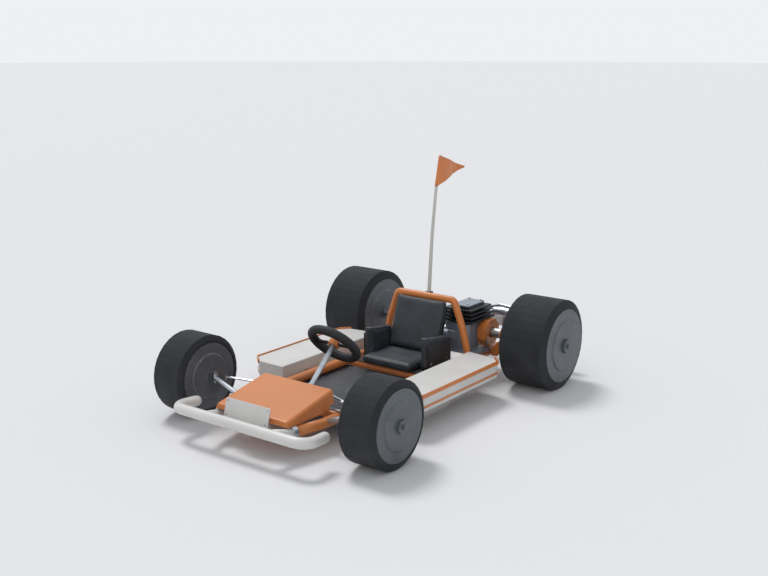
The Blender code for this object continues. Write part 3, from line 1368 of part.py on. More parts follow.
PIPE_FROM_AXLE = (
    (0.200, 0.107, 0.330), (0.245, 0.107, 0.343),
    (0.318, 0.107, 0.338), (0.345, 0.125, 0.325),
)
PIPE_BEND = 0.022
STAY_HALF = (0.010, 0.003)
MUFFLER_RADIUS = 0.026
MUFFLER_X = (0.180, 0.380)
MUFFLER_FROM_AXLE = 0.156
MUFFLER_Y = REAR_AXLE_Y + MUFFLER_FROM_AXLE
MUFFLER_Z = 0.292


def engine_plate():
    low = (ENGINE_PLATE_X[0], ENGINE_PLATE_Y[0], ENGINE_PLATE_Z[0])
    high = (ENGINE_PLATE_X[1], ENGINE_PLATE_Y[1], ENGINE_PLATE_Z[1])
    return finish(box(low, high), "engine_plate", "engine_casting")


def case_outline(rear):
    corner = CASE_CORNER
    low, high = CASE_X
    front = CASE_Y[0]
    return [(low + corner, front), (high - corner, front), (high, front + corner), (high, rear), (low, rear),
            (low, front + corner)]


def crankcase():
    """The block in front of the axle, a deck over the axle, and the crankshaft's stub."""
    piece = prism(case_outline(CASE_Y[1]), ENGINE_PLATE_Z[1] + SEAT_GAP, CASE_SPLIT_Z + 0.002)
    deck = prism(case_outline(DECK_REAR_Y), CASE_SPLIT_Z, CASE_TOP_Z)
    stub_ends = [(x, CRANK_Y, CRANK_Z) for x in (CHAIN_X - 0.006, CASE_X[0] + 0.004)]
    stub = cylinder(*stub_ends, CRANK_RADIUS, 16)
    joined(piece, deck, stub)
    return smooth(finish(piece, "crankcase", "engine_casting"), 30)


def cooling_fins():
    """A stack of fins on one core, narrower towards the top, with the exhaust port behind."""
    x, y = FIN_CENTRE
    core_x, core_y = FIN_CORE_HALF
    piece = box((x - core_x, y - core_y, CASE_TOP_Z + SEAT_GAP), (x + core_x, y + core_y, FIN_CORE_TOP_Z))
    for index in range(FIN_COUNT):
        share = index / (FIN_COUNT - 1)
        half_x, half_y = (low + (high - low) * share for low, high in zip(FIN_HALF_LOW, FIN_HALF_HIGH))
        z = FIN_FIRST_Z + index * FIN_PITCH
        joined(piece, box((x - half_x, y - half_y, z), (x + half_x, y + half_y, z + FIN_THICKNESS)))
    joined(piece, box((PORT_X[0], y, PORT_Z[0]), (PORT_X[1], PORT_REAR_Y, PORT_Z[1])))
    return finish(piece, "cooling_fins", "fin_black")


def cylinder_head():
    low = (*HEAD_LOW, FIN_CORE_TOP_Z + SEAT_GAP)
    high = (*HEAD_HIGH, FIN_CORE_TOP_Z + SEAT_GAP + HEAD_THICKNESS)
    return smooth(finish(as_mesh(box(low, high, HEAD_BEVEL, 2)), "cylinder_head", "engine_casting"), 30)


def carburettor():
    """The carburettor's body on the front of the crankcase, with a round air filter on its side."""
    rear = CASE_Y[0] - SEAT_GAP
    piece = box((0.105, rear - 0.034, 0.205), (0.146, rear, 0.246))
    joined(piece, cylinder((0.109, rear - 0.026, 0.2255), (0.050, rear - 0.026, 0.2255), 0.024, 16))
    return smooth(finish(piece, "carburettor", "engine_casting"), 30)


def exhaust_pipe():
    x = (PORT_X[0] + PORT_X[1]) / 2
    z = (PORT_Z[0] + PORT_Z[1]) / 2
    bends = [(across, REAR_AXLE_Y + behind, up) for across, behind, up in PIPE_FROM_AXLE]
    route = rounded(
        (
            (x, PORT_REAR_Y + SEAT_GAP, z),
            (x, bends[0][1], z),
            *bends,
            (bends[-1][0], MUFFLER_Y, MUFFLER_Z),
        ),
        PIPE_BEND,
        3,
    )
    piece = solid_tube(route, PIPE_RADIUS, 10)
    ends = [(MUFFLER_X[0], MUFFLER_Y, MUFFLER_Z), (MUFFLER_X[1], MUFFLER_Y, MUFFLER_Z)]
    cut(piece, cylinder(*ends, MUFFLER_RADIUS + SEAT_GAP, 20))
    return smooth(finish(piece, "exhaust_pipe", "chrome"))


def muffler():
    """The silencer can on a stay that stands on the rear bumper's support."""
    ends = [(MUFFLER_X[0], MUFFLER_Y, MUFFLER_Z), (MUFFLER_X[1], MUFFLER_Y, MUFFLER_Z)]
    piece = cylinder(*ends, MUFFLER_RADIUS, 20)
    half_x, half_y = STAY_HALF
    low = (RAIL_X - half_x, MUFFLER_Y - half_y, RAIL_Z + REAR_SUPPORT_RADIUS + SEAT_GAP)
    joined(piece, box(low, (RAIL_X + half_x, MUFFLER_Y + half_y, MUFFLER_Z - MUFFLER_RADIUS / 2)))
    return smooth(finish(piece, "muffler", "engine_casting"))


# Pedals and brake linkage
CRANK_ARM = 0.042
CRANK_X = (0.2620, 0.2675)
ROD_X = 0.2740
ROD_RADIUS = 0.0055
ROD_REAR_Z = 0.143
ROD_EYE_X = (0.2698, 0.2775)
ROD_EYE_RIM = 0.0087       # from an eye's centre to where the rod starts
ROD_EYE_WALL = 0.0015
ROD_PLAY = 0.0020
LEVER_PIVOT_FROM_AXLE = -0.050
LEVER_PIVOT_Y = REAR_AXLE_Y + LEVER_PIVOT_FROM_AXLE
LEVER_PIVOT_Z = 0.200
LEVER_X = (0.2660, 0.2695)
PEDAL_HALF = 0.028
PEDAL_TOP_Z = 0.206
PEDAL_ARM_HALF = 0.006


def pedal(name, side, shaft_outer_x):
    """A pedal: a shaft through two lugs, an arm and a foot plate."""
    y = PEDAL_SHAFT_Y
    middle = side * sum(PEDAL_LUG_X) / 2
    shaft = [(side * x, y, PEDAL_SHAFT_Z) for x in (PEDAL_LUG_X[0] - 0.010, shaft_outer_x)]
    piece = cylinder(*shaft, PEDAL_SHAFT_RADIUS, 12)
    half = PEDAL_ARM_HALF
    arm = box((middle - half, y - 0.004, PEDAL_SHAFT_Z), (middle + half, y + 0.004, PEDAL_TOP_Z - 0.006))
    half = PEDAL_HALF
    face = box((middle - half, y + 0.002, PEDAL_TOP_Z - 0.040), (middle + half, y + 0.007, PEDAL_TOP_Z))
    joined(piece, arm, face)
    return piece


def throttle_pedal():
    piece = pedal("throttle_pedal", -1, PEDAL_LUG_X[1] + 0.010)
    return smooth(finish(piece, "throttle_pedal", "steel"))


def brake_pedal():
    """The brake pedal's shaft runs out over the rail to a crank with a pin for the brake rod."""
    piece = pedal("brake_pedal", 1, CRANK_X[1] - 0.001)
    y = PEDAL_SHAFT_Y
    outline = arc((0, 0), 0.008, 180, 360, 6) + arc((0, CRANK_ARM), 0.007, 0, 180, 6)
    middle = Vector(((CRANK_X[0] + CRANK_X[1]) / 2, y, PEDAL_SHAFT_Z))
    crank = plate(outline, CRANK_X[1] - CRANK_X[0], facing(middle, (0, 1, 0), (0, 0, 1)))
    top = PEDAL_SHAFT_Z + CRANK_ARM
    pin_ends = [(x, y, top) for x in (CRANK_X[0] + 0.001, ROD_EYE_X[1] + 0.002)]
    joined(piece, crank, cylinder(*pin_ends, LINK_PIN_RADIUS, 12))
    return smooth(finish(piece, "brake_pedal", "steel"))


def brake_rod():
    """The rod from the pedal's crank to the brake lever, with an eye at each end."""
    front = Vector((ROD_X, PEDAL_SHAFT_Y, PEDAL_SHAFT_Z + CRANK_ARM))
    rear = Vector((ROD_X, LEVER_PIVOT_Y, ROD_REAR_Z))
    rim = (rear - front).normalized() * ROD_EYE_RIM
    piece = cylinder(front + rim, rear - rim, ROD_RADIUS, SMALL_TUBE_SIDES)
    for eye in (front, rear):
        ends = [(x, eye.y, eye.z) for x in ROD_EYE_X]
        through = [(x, eye.y, eye.z) for x in (ROD_EYE_X[0] - 0.01, ROD_EYE_X[1] + 0.01)]
        joined(piece, cylinder(*ends, LINK_EYE_RADIUS + ROD_EYE_WALL, 12, math.pi / 12))
        cut(piece, cylinder(*through, bore_radius(LINK_PIN_RADIUS + ROD_PLAY, 12), 12, math.pi / 12))
    return smooth(finish(piece, "brake_rod", "steel"))


def brake_lever():
    """The lever that hangs from the housing's stud, with a pin in the rod's rear eye."""
    low, high = LEVER_X
    place = facing(Vector(((low + high) / 2, LEVER_PIVOT_Y, ROD_REAR_Z)), (0, 1, 0), (0, 0, 1))
    outline = arc((0, 0), 0.007, 180, 360, 6) + arc((0, LEVER_PIVOT_Z - ROD_REAR_Z), 0.009, 0, 180, 6)
    piece = plate(outline, high - low, place)
    ends = [(x, LEVER_PIVOT_Y, LEVER_PIVOT_Z) for x in (low - 0.01, high + 0.01)]
    pin = [(x, LEVER_PIVOT_Y, ROD_REAR_Z) for x in (low + 0.001, ROD_EYE_X[1] + 0.002)]
    joined(piece, cylinder(*pin, LINK_PIN_RADIUS, 12))
    cut(piece, cylinder(*ends, bore_radius(LINK_PIN_RADIUS + RUNNING_GAP, 12), 12))
    return smooth(finish(piece, "brake_lever", "steel"))


def build_frame():
    for word, side in both_sides():
        frame_rail(word, side)
        side_pod(word, side)
        pod_top_trim(word, side)
        front_axle_arm(word, side)
        axle_hanger(word, side)
    front_cross_tube()
    seat_cross_tube()
    rear_cross_tube()
    floor_pan()
    front_bumper()
    rear_bumper()
    nose_cone()
    number_plate()
    column_bracket()


def build_seat():
    seat_pan()
    seat_base()
    seat_back()
    for word, side in both_sides():
        seat_bolster(word, side)
    seat_hoop()
    flag_pole()
    flag_clamp()
    flag()


def build_steering():
    pivot("steering_pivot", column_point(COLUMN_FOOT), steering_rim(), steering_hub(), steering_column())
    for word, side in both_sides():
        pin = column_point(PITMAN_AT, PITMAN_LENGTH)
        pivot(f"tie_rod_{word}_pivot", pin, tie_rod(word, side))
        kingpin = Vector((side * KINGPIN_X, FRONT_AXLE_Y, FRONT_WHEEL_Z))
        pivot(f"knuckle_{word}_pivot", kingpin, steering_knuckle(word, side))
        front_wheel(word, side)


def build_drive():
    engine_plate()
    crankcase()
    cooling_fins()
    cylinder_head()
    carburettor()
    exhaust_pipe()
    muffler()
    drive_chain()
    brake_housing()
    turning = [rear_axle(), axle_sprocket(), brake_drum()]
    for word, side in both_sides():
        turning += rear_wheel(word, side)
    pivot("rear_axle_pivot", Vector((0, REAR_AXLE_Y, AXLE_Z)), *turning)
    pivot("clutch_pivot", Vector((CHAIN_X, CRANK_Y, CRANK_Z)), clutch_drum())


def build_pedals():
    shaft = Vector((0, PEDAL_SHAFT_Y, PEDAL_SHAFT_Z))
    pivot("brake_pedal_pivot", shaft, brake_pedal())
    pivot("throttle_pedal_pivot", shaft, throttle_pedal())
    pivot("brake_rod_slide", Vector((ROD_X, PEDAL_SHAFT_Y, PEDAL_SHAFT_Z + CRANK_ARM)), brake_rod())
    pivot("brake_lever_pivot", Vector((LEVER_X[0], LEVER_PIVOT_Y, LEVER_PIVOT_Z)), brake_lever())


def main():
    start_scene()
    build_frame()
    build_seat()
    build_steering()
    build_drive()
    build_pedals()


main()
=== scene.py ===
"""Racing kart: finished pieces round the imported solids. Metres, +Z up, facing -Y, its left side is +X."""

import json
import math

import bmesh
import bpy
from bpy.props import FloatProperty, FloatVectorProperty, IntProperty, PointerProperty
from mathutils import Matrix, Vector
from mathutils.bvhtree import BVHTree


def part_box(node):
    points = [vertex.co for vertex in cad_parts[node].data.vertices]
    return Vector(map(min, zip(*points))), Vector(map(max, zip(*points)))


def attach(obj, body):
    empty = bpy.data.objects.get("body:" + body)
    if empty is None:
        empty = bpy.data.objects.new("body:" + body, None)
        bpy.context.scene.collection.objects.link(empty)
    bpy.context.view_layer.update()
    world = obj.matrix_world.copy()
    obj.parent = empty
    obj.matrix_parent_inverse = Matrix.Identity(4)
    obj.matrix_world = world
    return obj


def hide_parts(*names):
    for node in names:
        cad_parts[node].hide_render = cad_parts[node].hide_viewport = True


bl_info = {
    "name": "Racing kart",
    "version": (1, 0, 0),
    "blender": (4, 5, 0),
    "location": "View3D > Sidebar > Kart",
    "description": "Builds the pieces and finishes of a racing kart round its packed solids",
    "category": "Object",
}

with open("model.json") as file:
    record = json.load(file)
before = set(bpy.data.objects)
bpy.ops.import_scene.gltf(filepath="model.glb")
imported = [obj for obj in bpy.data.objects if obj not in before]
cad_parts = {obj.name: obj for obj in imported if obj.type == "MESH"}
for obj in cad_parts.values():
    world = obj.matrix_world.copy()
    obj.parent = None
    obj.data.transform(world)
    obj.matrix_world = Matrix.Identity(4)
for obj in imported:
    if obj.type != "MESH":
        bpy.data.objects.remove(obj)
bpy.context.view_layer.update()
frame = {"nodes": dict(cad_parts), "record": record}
SLOT_OF = {row["node"]: row["material_slot"] for row in frame["record"]["subparts"]}
BODY_OF = {node: body for body, nodes in frame["record"]["behaviour"]["bodies"].items() for node in nodes}
SIDES = (("left", 1), ("right", -1))
UP = Vector((0, 0, 1))
ACROSS = Vector((1, 0, 0))


def tint(name, description, default):
    """The property of a colour."""
    return FloatVectorProperty(
        name=name, description=description, subtype="COLOR", min=0, max=1, default=default,
    )


def length(name, description, default, least, most):
    """The property of a length in metres."""
    return FloatProperty(
        name=name, description=description, default=default, min=least, max=most, unit="LENGTH",
    )


def brightness(name, description, default, most):
    """The property of a light's strength."""
    return FloatProperty(name=name, description=description, default=default, min=0, max=most)


class KartColours(bpy.types.PropertyGroup):
    orange: tint("Orange", "Frame tubes, nose and trim", (0.640, 0.205, 0.048))
    white: tint("White", "Bumpers, side pods and plate", (0.700, 0.690, 0.670))
    seat: tint("Seat", "Vinyl of the seat pads", (0.026, 0.031, 0.038))
    tyre: tint("Tyre", "Rubber of the tyres", (0.017, 0.019, 0.022))
    rim: tint("Rim", "Metal of the wheel discs", (0.104, 0.120, 0.136))
    pan: tint("Floor pan", "Paint of the floor sheet", (0.020, 0.027, 0.036))


class KartSizes(bpy.types.PropertyGroup):
    edge: length("Edge rounding", "Width of the rounding on machined and moulded edges", 0.0012, 0.0002, 0.01)
    weld: length("Weld bead", "Radius of the bead where two tubes meet", 0.0028, 0.0005, 0.01)
    welt: length("Seat welt", "Radius of the sewn welt round a pad", 0.0022, 0.0005, 0.01)
    tube_sides: IntProperty(
        name="Tube sides", description="Sides of the bent frame tubes", default=28, min=8, max=64,
    )
    voxel: length("Pad grid", "Grid that the pads are remeshed to before they swell", 0.005, 0.003, 0.02)
    swell: length("Pad swell", "The most that a point of a pad may move as it swells", 0.004, 0.0, 0.03)


class KartStage(bpy.types.PropertyGroup):
    lens: FloatProperty(
        name="Lens", description="Focal length in millimetres", default=50.38, min=10, max=300,
    )
    ambient: brightness("Ambient", "Strength of the even light", 0.58, 2)
    key: brightness("Key", "Strength of the high soft lamp", 1.5, 20)
    fill: brightness("Fill", "Strength of the lamp behind the camera", 0.45, 20)


class Signal:
    """A node's output that Python's arithmetic extends with Math nodes."""

    def __init__(self, wiring, socket):
        self.wiring = wiring
        self.socket = socket

    def out(self, name):
        return Signal(self.wiring, self.socket.node.outputs[name])

    def math(self, operation, *values):
        return self.wiring.node("ShaderNodeMath", {"operation": operation}, dict(enumerate(values)))

    def __add__(self, other):
        return self.math("ADD", self, other)

    __radd__ = __add__

    def __sub__(self, other):
        return self.math("SUBTRACT", self, other)

    def __rsub__(self, other):
        return self.math("SUBTRACT", other, self)

    def __mul__(self, other):
        return self.math("MULTIPLY", self, other)

    __rmul__ = __mul__

    def between(self, low, high):
        """0 at the low value and 1 at the high one, held at both ends."""
        return self.wiring.node("ShaderNodeMapRange", {}, {"Value": self, "From Min": low, "From Max": high})


class Wiring:
    """Adds nodes to one node tree."""

    def __init__(self, tree):
        self.tree = tree

    def feed(self, socket, value):
        if isinstance(value, Signal):
            self.tree.links.new(value.socket, socket)
        elif socket.type == "RGBA":
            socket.default_value = (*value, 1.0)
        else:
            socket.default_value = value

    def node(self, kind, settings=None, sockets=None, output=0):
        """A node of a type: its settings first, then the values or links of its sockets."""
        made = self.tree.nodes.new(kind)
        for name, value in (settings or {}).items():
            setattr(made, name, value)
        for key, value in (sockets or {}).items():
            self.feed(made.inputs[key], value)
        return Signal(self, made.outputs[output])

    def mixed(self, share, first, second):
        """One colour turned into another; the colour sockets of a Mix node go by number."""
        return self.node("ShaderNodeMix", {"data_type": "RGBA"}, {0: share, 6: first, 7: second}, output=2)


# Finishes
# Each broad pattern: the scale and detail of its noise, and the values between which it sets in.
PATTERNS = {
    "rubbing": (38.0, 4.0, 0.46, 0.66),
    "dust": (11.0, 4.0, 0.35, 0.75),
    "cloud": (5.0, 2.0, 0.30, 0.70),
    "scuff": (60.0, 5.0, 0.52, 0.75),
    "bloom": (9.0, 4.0, 0.35, 0.75),
    "stain": (14.0, 4.0, 0.35, 0.70),
    "smear": (16.0, 4.0, 0.45, 0.80),
    "oil": (18.0, 3.0, 0.48, 0.72),
    "skin": (20.0, 4.0, 0.35, 0.70),
    "crease": (13.0, 5.0, 0.40, 0.62),
    "fade": (12.0, 3.0, 0.30, 0.70),
}
# Each fine grain: the scale and detail of its noise.
GRAINS = {
    "orange_peel": (420.0, 2.0),
    "rubber_sheen": (24.0, 3.0),
    "rubber_crumb": (90.0, 3.0),
    "hand_marks": (30.0, 4.0),
    "lathe": (220.0, 3.0),
    "plating": (120.0, 2.0),
    "drawn": (40.0, 4.0),
    "cast_sheen": (70.0, 3.0),
    "sand": (520.0, 4.0),
    "buckle": (30.0, 4.0),
    "fibre": (30.0, 4.0),
}
# How strongly each patch keeps the finish's own colour.
SHADES = {
    "cloud": 0.90, "bloom": 1.25, "lifted_rubber": 2.2, "stain": 0.82, "oil": 0.45, "skin": 0.78,
    # The rubbed casting shade is lighter edge metal: wear and a painted highlight.
    "rubbed_and_highlit_casting": 1.9, "flat_vinyl": 0.85, "creased_vinyl": 1.35, "fade": 1.12, "streak": 0.84,
}
WORN_EDGE = (0.25, 0.85)
STREAK_EDGE = (0.35, 0.70)
DUST = (0.34, 0.32, 0.29)
DUST_HEIGHTS = (0.02, 0.30)
THREADS_ACROSS = 1500.0
THREADS_UP = 1000.0
VINYL_CELLS = 430.0


class Finish(Wiring):
    """A material on one Principled shader."""

    def __init__(self, name, colour, roughness, metallic=0.0, **steady):
        self.material = bpy.data.materials.new(name)
        self.material.use_nodes = True
        super().__init__(self.material.node_tree)
        self.shader = self.tree.nodes["Principled BSDF"]
        self.colour = Vector(colour)
        self.lay("Base Color", colour)
        self.lay("Roughness", roughness)
        self.lay("Metallic", metallic)
        for socket, value in steady.items():
            self.lay(socket.replace("_", " ").title().replace("Ior", "IOR"), value)

    def lay(self, socket, value):
        self.feed(self.shader.inputs[socket], value)

    def place(self, scale=(1, 1, 1), source="Object"):
        """Object coordinates, or the piece's own UV, stretched."""
        coordinate = self.node("ShaderNodeTexCoord").out(source)
        return self.node("ShaderNodeMapping", {}, {"Vector": coordinate, "Scale": scale})

    def along(self, axis):
        return self.node("ShaderNodeSeparateXYZ", {}, {0: self.place()}).out(axis)

    def noise(self, scale, detail, place=None):
        sockets = {"Vector": place or self.place(), "Scale": scale, "Detail": detail}
        return self.node("ShaderNodeTexNoise", {}, sockets)

    def grain(self, name, place=None):
        """One of the fine grains."""
        return self.noise(*GRAINS[name], place)

    def pattern(self, name, place=None):
        """One of the broad patterns, from 0 where it is absent to 1 where it is full."""
        scale, detail, low, high = PATTERNS[name]
        return self.noise(scale, detail, place).between(low, high)

    def cells(self, scale):
        return self.node("ShaderNodeTexVoronoi", {}, {"Vector": self.place(), "Scale": scale})

    def shade(self, name):
        """The finish's own colour, darker or lighter."""
        return self.colour * SHADES[name]

    def worn(self):
        """Where the middle of a rounded edge has rubbed, broken up by noise; the wheel and casting finishes
        also use it for a painted highlight.
        """
        edge = self.node("ShaderNodeAttribute", {"attribute_name": "worn"}).out("Fac")
        return (edge * self.pattern("rubbing")).between(*WORN_EDGE)

    def bump(self, height, strength, distance):
        sockets = {"Strength": strength, "Distance": distance, "Height": height}
        self.lay("Normal", self.node("ShaderNodeBump", {}, sockets))


def dusted(look, tone, most):
    """The tone with a thin film of dust that thickens towards the ground."""
    low = 1.0 - look.along("Z").between(*DUST_HEIGHTS)
    return look.mixed(low * look.pattern("dust") * most, tone, DUST)


def paint(name, colour, under, roughness=0.34, peel=0.05, wear=0.75, dust=0.14, scuffed=0.10, rubbed=0.15):
    """Satin enamel or gel coat: faint clouding, orange peel, dust low down and rubbed edges."""
    look = Finish(name, colour, roughness, specular_ior_level=0.4, coat_weight=0.12, coat_roughness=0.3)
    cloud = look.mixed(look.pattern("cloud"), colour, look.shade("cloud"))
    worn = look.worn() * wear
    look.lay("Base Color", dusted(look, look.mixed(worn, cloud, under), dust))
    scuff = look.pattern("scuff", look.place((1, 4, 1)))
    look.lay("Roughness", roughness + scuff * scuffed + worn * rubbed)
    look.bump(look.grain("orange_peel"), peel, distance=0.0006)
    return look


def rubber(name, colour, roughness, pores, dust=0.12, lift=0.5, uneven=0.16, crumb=0.4):
    """Matt rubber with a fine grain, bloom and dust."""
    look = Finish(name, colour, roughness, specular_ior_level=0.35)
    bloom = look.mixed(look.pattern("bloom"), colour, look.shade("bloom"))
    lifted = look.mixed(look.worn() * lift, bloom, look.shade("lifted_rubber"))
    look.lay("Base Color", dusted(look, lifted, dust))
    look.lay("Roughness", look.grain("rubber_sheen") * uneven + (roughness - uneven / 2))
    skin = look.noise(pores, detail=3.0) + look.grain("rubber_crumb") * crumb
    look.bump(skin, strength=0.25, distance=0.0010)
    return look


def wheel_metal(name, colour, rubbed, dust=0.10, uneven=0.14, smoothest=0.34, polish=0.12):
    """Satin wheel metal with a fine lathe grain; its rounded edges are lighter, partly rubbed bare metal and
    partly a painted highlight.
    """
    look = Finish(name, colour, roughness=0.42, metallic=0.20)
    worn = look.worn()
    stain = look.mixed(look.pattern("stain"), colour, look.shade("stain"))
    # The worn edge mask mixes in the lighter metal: rubbed bare metal, and a painted highlight on the raised
    # disc's edge.
    look.lay("Base Color", dusted(look, look.mixed(worn, stain, rubbed), dust))
    look.lay("Roughness", look.grain("hand_marks") * uneven + smoothest - worn * polish)
    look.bump(look.grain("lathe", look.place((6, 1, 1))), strength=0.05, distance=0.0005)
    return look


def chromed(name, bright, smeared, roughness=0.32, dulled=0.12):
    """Satin chrome with faint smears."""
    look = Finish(name, bright, roughness, metallic=1.0)
    smear = look.pattern("smear")
    look.lay("Base Color", look.mixed(smear, bright, smeared))
    look.lay("Roughness", smear * dulled + roughness)
    look.bump(look.grain("plating"), strength=0.02, distance=0.0002)
    return look


def brushed(name, colour, rubbed, roughness, oiled=0.7, uneven=0.2, dulled=0.08):
    """Steel with a drawn grain and darker oily patches."""
    look = Finish(name, colour, roughness, metallic=1.0)
    grain = look.grain("drawn", look.place((12, 1, 12)))
    oil = look.pattern("oil")
    shade = look.mixed(oil * oiled, colour, look.shade("oil"))
    look.lay("Base Color", look.mixed(look.worn(), shade, rubbed))
    look.lay("Roughness", grain * uneven + (roughness - dulled) + oil * dulled)
    look.bump(grain, strength=0.06, distance=0.0004)
    return look


def cast(name, colour, metallic, roughness, pits=0.28, uneven=0.16, smoother=0.06, polish=0.1):
    """Sand-cast metal: a grainy skin that is smoother and lighter on its edges, partly rubbed metal and
    partly a painted highlight.
    """
    look = Finish(name, colour, roughness, metallic)
    worn = look.worn()
    shade = look.mixed(look.pattern("skin"), colour, look.shade("skin"))
    # The worn edge mask lightens the casting's edges: rubbed metal, and a painted highlight as on the head
    # plate's edges.
    look.lay("Base Color", look.mixed(worn, shade, look.shade("rubbed_and_highlit_casting")))
    look.lay("Roughness", look.grain("cast_sheen") * uneven + (roughness - smoother) - worn * polish)
    look.bump(look.grain("sand"), pits, distance=0.0008)
    return look


def vinyl(name, colour, roughness=0.44, pebbled=0.16, dulled=0.06, buckled=0.8):
    """Seat vinyl: a pebbled grain, creases and a duller sheen where it is sat on."""
    look = Finish(name, colour, roughness, specular_ior_level=0.45)
    pebble = look.cells(VINYL_CELLS)
    crease = look.pattern("crease")
    look.lay("Base Color", look.mixed(crease, look.shade("flat_vinyl"), look.shade("creased_vinyl")))
    look.lay("Roughness", pebble * pebbled + roughness + crease * dulled)
    look.bump(pebble + look.grain("buckle") * buckled, strength=0.30, distance=0.0009)
    return look


def woven(name, colour, roughness=0.72, glint=0.06):
    """Nylon flag cloth: two sets of threads crossing, read from the cloth's own UV."""
    look = Finish(name, colour, roughness, sheen_weight=0.25)
    flat = look.node("ShaderNodeSeparateXYZ", {}, {0: look.place(source="UV")})
    warp = (flat.out("X") * THREADS_ACROSS).math("SINE", flat.out("X") * THREADS_ACROSS)
    weft = (flat.out("Y") * THREADS_UP).math("SINE", flat.out("Y") * THREADS_UP)
    thread = warp * weft
    look.lay("Base Color", look.mixed(look.pattern("fade"), colour, look.shade("fade")))
    look.lay("Roughness", thread * glint + roughness)
    look.bump(thread, strength=0.18, distance=0.0004)
    return look


def streaked(name, colour, roughness=0.28, uneven=0.15):
    """Pultruded fibreglass: streaks along the pole under a thin resin."""
    look = Finish(name, colour, roughness, coat_weight=0.2)
    streak = look.grain("fibre", look.place((14, 14, 0.6)))
    look.lay("Base Color", look.mixed(streak.between(*STREAK_EDGE), colour, look.shade("streak")))
    look.lay("Roughness", streak * uneven + roughness)
    look.bump(streak, strength=0.06, distance=0.0004)
    return look


def make_finishes(colours):
    """Every finish of the kart, by the record's slot name."""
    primer = (0.30, 0.27, 0.25)
    grey_primer = (0.36, 0.37, 0.38)
    bare_pan = (0.20, 0.22, 0.24)
    faded_orange = (0.66, 0.40, 0.25)
    faded_white = (0.46, 0.46, 0.45)
    gel_coat = {"roughness": 0.36, "peel": 0.07, "wear": 0.5}
    # Lighter metal of the wheels' rounded edges: rubbed bare metal and a painted highlight.
    bare_and_highlit_wheel = (0.50, 0.53, 0.56)
    chrome = (0.50, 0.53, 0.57)
    dull_chrome = (0.38, 0.41, 0.45)
    steel = (0.34, 0.36, 0.39)
    bright_steel = (0.55, 0.57, 0.60)
    grip = (0.016, 0.017, 0.019)
    shell = (0.022, 0.024, 0.028)
    casting = (0.300, 0.345, 0.400)
    fins = (0.022, 0.025, 0.030)
    flag = (0.640, 0.205, 0.060)
    pole = (0.600, 0.600, 0.560)
    return {
        "orange_paint": paint("orange_enamel", colours.orange, primer),
        "nose_plastic": paint("orange_gel_coat", colours.orange, faded_orange, **gel_coat),
        "white_paint": paint("white_enamel", colours.white, grey_primer),
        "pod_plastic": paint("white_gel_coat", colours.white, faded_white, **gel_coat),
        "pan_paint": paint("pan_enamel", colours.pan, bare_pan, roughness=0.42, peel=0.12),
        "tyre_rubber": rubber("tyre_rubber", colours.tyre, roughness=0.82, pores=500.0),
        "grip_rubber": rubber("grip_rubber", grip, roughness=0.62, pores=900.0, dust=0.0),
        "seat_shell": rubber("seat_shell", shell, roughness=0.52, pores=700.0, dust=0.1),
        "rim_metal": wheel_metal("wheel_metal", colours.rim, bare_and_highlit_wheel),
        "chrome": chromed("chrome", chrome, dull_chrome),
        "steel": brushed("drawn_steel", steel, bright_steel, roughness=0.34),
        "engine_casting": cast("engine_casting", casting, metallic=0.25, roughness=0.46),
        "fin_black": cast("black_fins", fins, metallic=0.3, roughness=0.44, pits=0.2),
        "seat_vinyl": vinyl("seat_vinyl", colours.seat),
        "flag_cloth": woven("flag_cloth", flag),
        "pole_fibreglass": streaked("pole_fibreglass", pole),
    }


FINISHES = {}


# Making meshes
SHARP_ANGLE = 31.0
SAME_POINT = 0.00002
SAME_RING_POINT = 0.00001
FLAT_ANGLE = math.radians(0.5)
NEARLY_STRAIGHT = math.radians(88)
BEND_REACH = 0.48
WASHER_THICKNESS = 0.0014
WASHER_SHARE = 1.5
WASHER_STEPS = 20
HEAD_SHARE = 0.75
HEAD_SIDES = 6
HEAD_EDGE = 0.10
BEAD_POINTS = 48
BEAD_RIPPLES = 16
BEAD_RIPPLE = 0.16
BEAD_SIDES = 8


def linked(name, data):
    """A new object of the scene."""
    item = bpy.data.objects.new(name, data)
    bpy.context.scene.collection.objects.link(item)
    return item


def made_object(name, work):
    """A bmesh as a new object of the scene."""
    mesh = bpy.data.meshes.new(name)
    work.to_mesh(mesh)
    work.free()
    return linked(name, mesh)


def add_piece(name, work, slot, body, replaces=(), even=True):
    """An object from a bmesh, with its finish, riding on a body."""
    piece = made_object(name, work)
    piece.data.shade_smooth()
    piece.data.materials.append(FINISHES[slot].material)
    if even:
        flats = piece.modifiers.new("flats", "WEIGHTED_NORMAL")
        flats.keep_sharp = True
    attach(piece, body)
    if replaces:
        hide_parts(*replaces)
    return piece


def bevelled(work, edges, width, segments):
    """Bevels edges of a bmesh, and gives the faces and corners that this makes."""
    return bmesh.ops.bevel(
        work, geom=edges, offset=width, segments=segments, profile=0.5, affect="EDGES",
        clamp_overlap=True, material=-1,
    )


def eased(work, width, segments=2, sharper=SHARP_ANGLE):
    """Rounds every edge sharper than an angle, and marks the middle of each rounding as worn, a mark that the
    wheel and casting finishes also paint as a highlight.
    """
    mark = work.verts.layers.float.get("worn") or work.verts.layers.float.new("worn")
    limit = math.radians(sharper)
    sharp = [edge for edge in work.edges if len(edge.link_faces) == 2 and edge.calc_face_angle(0.0) > limit]
    made = bevelled(work, sharp, width, segments)
    fresh = set(made["faces"])
    for corner in made["verts"]:
        if all(face in fresh for face in corner.link_faces):
            corner[mark] = 1.0
    return work


def merged_copy(node):
    """A CAD node's solid with its loose triangles merged back into flat faces."""
    work = bmesh.new()
    work.from_mesh(frame["nodes"][node].data)
    bmesh.ops.remove_doubles(work, verts=work.verts, dist=SAME_POINT)
    bmesh.ops.dissolve_limit(work, angle_limit=FLAT_ANGLE, verts=work.verts, edges=work.edges)
    return work


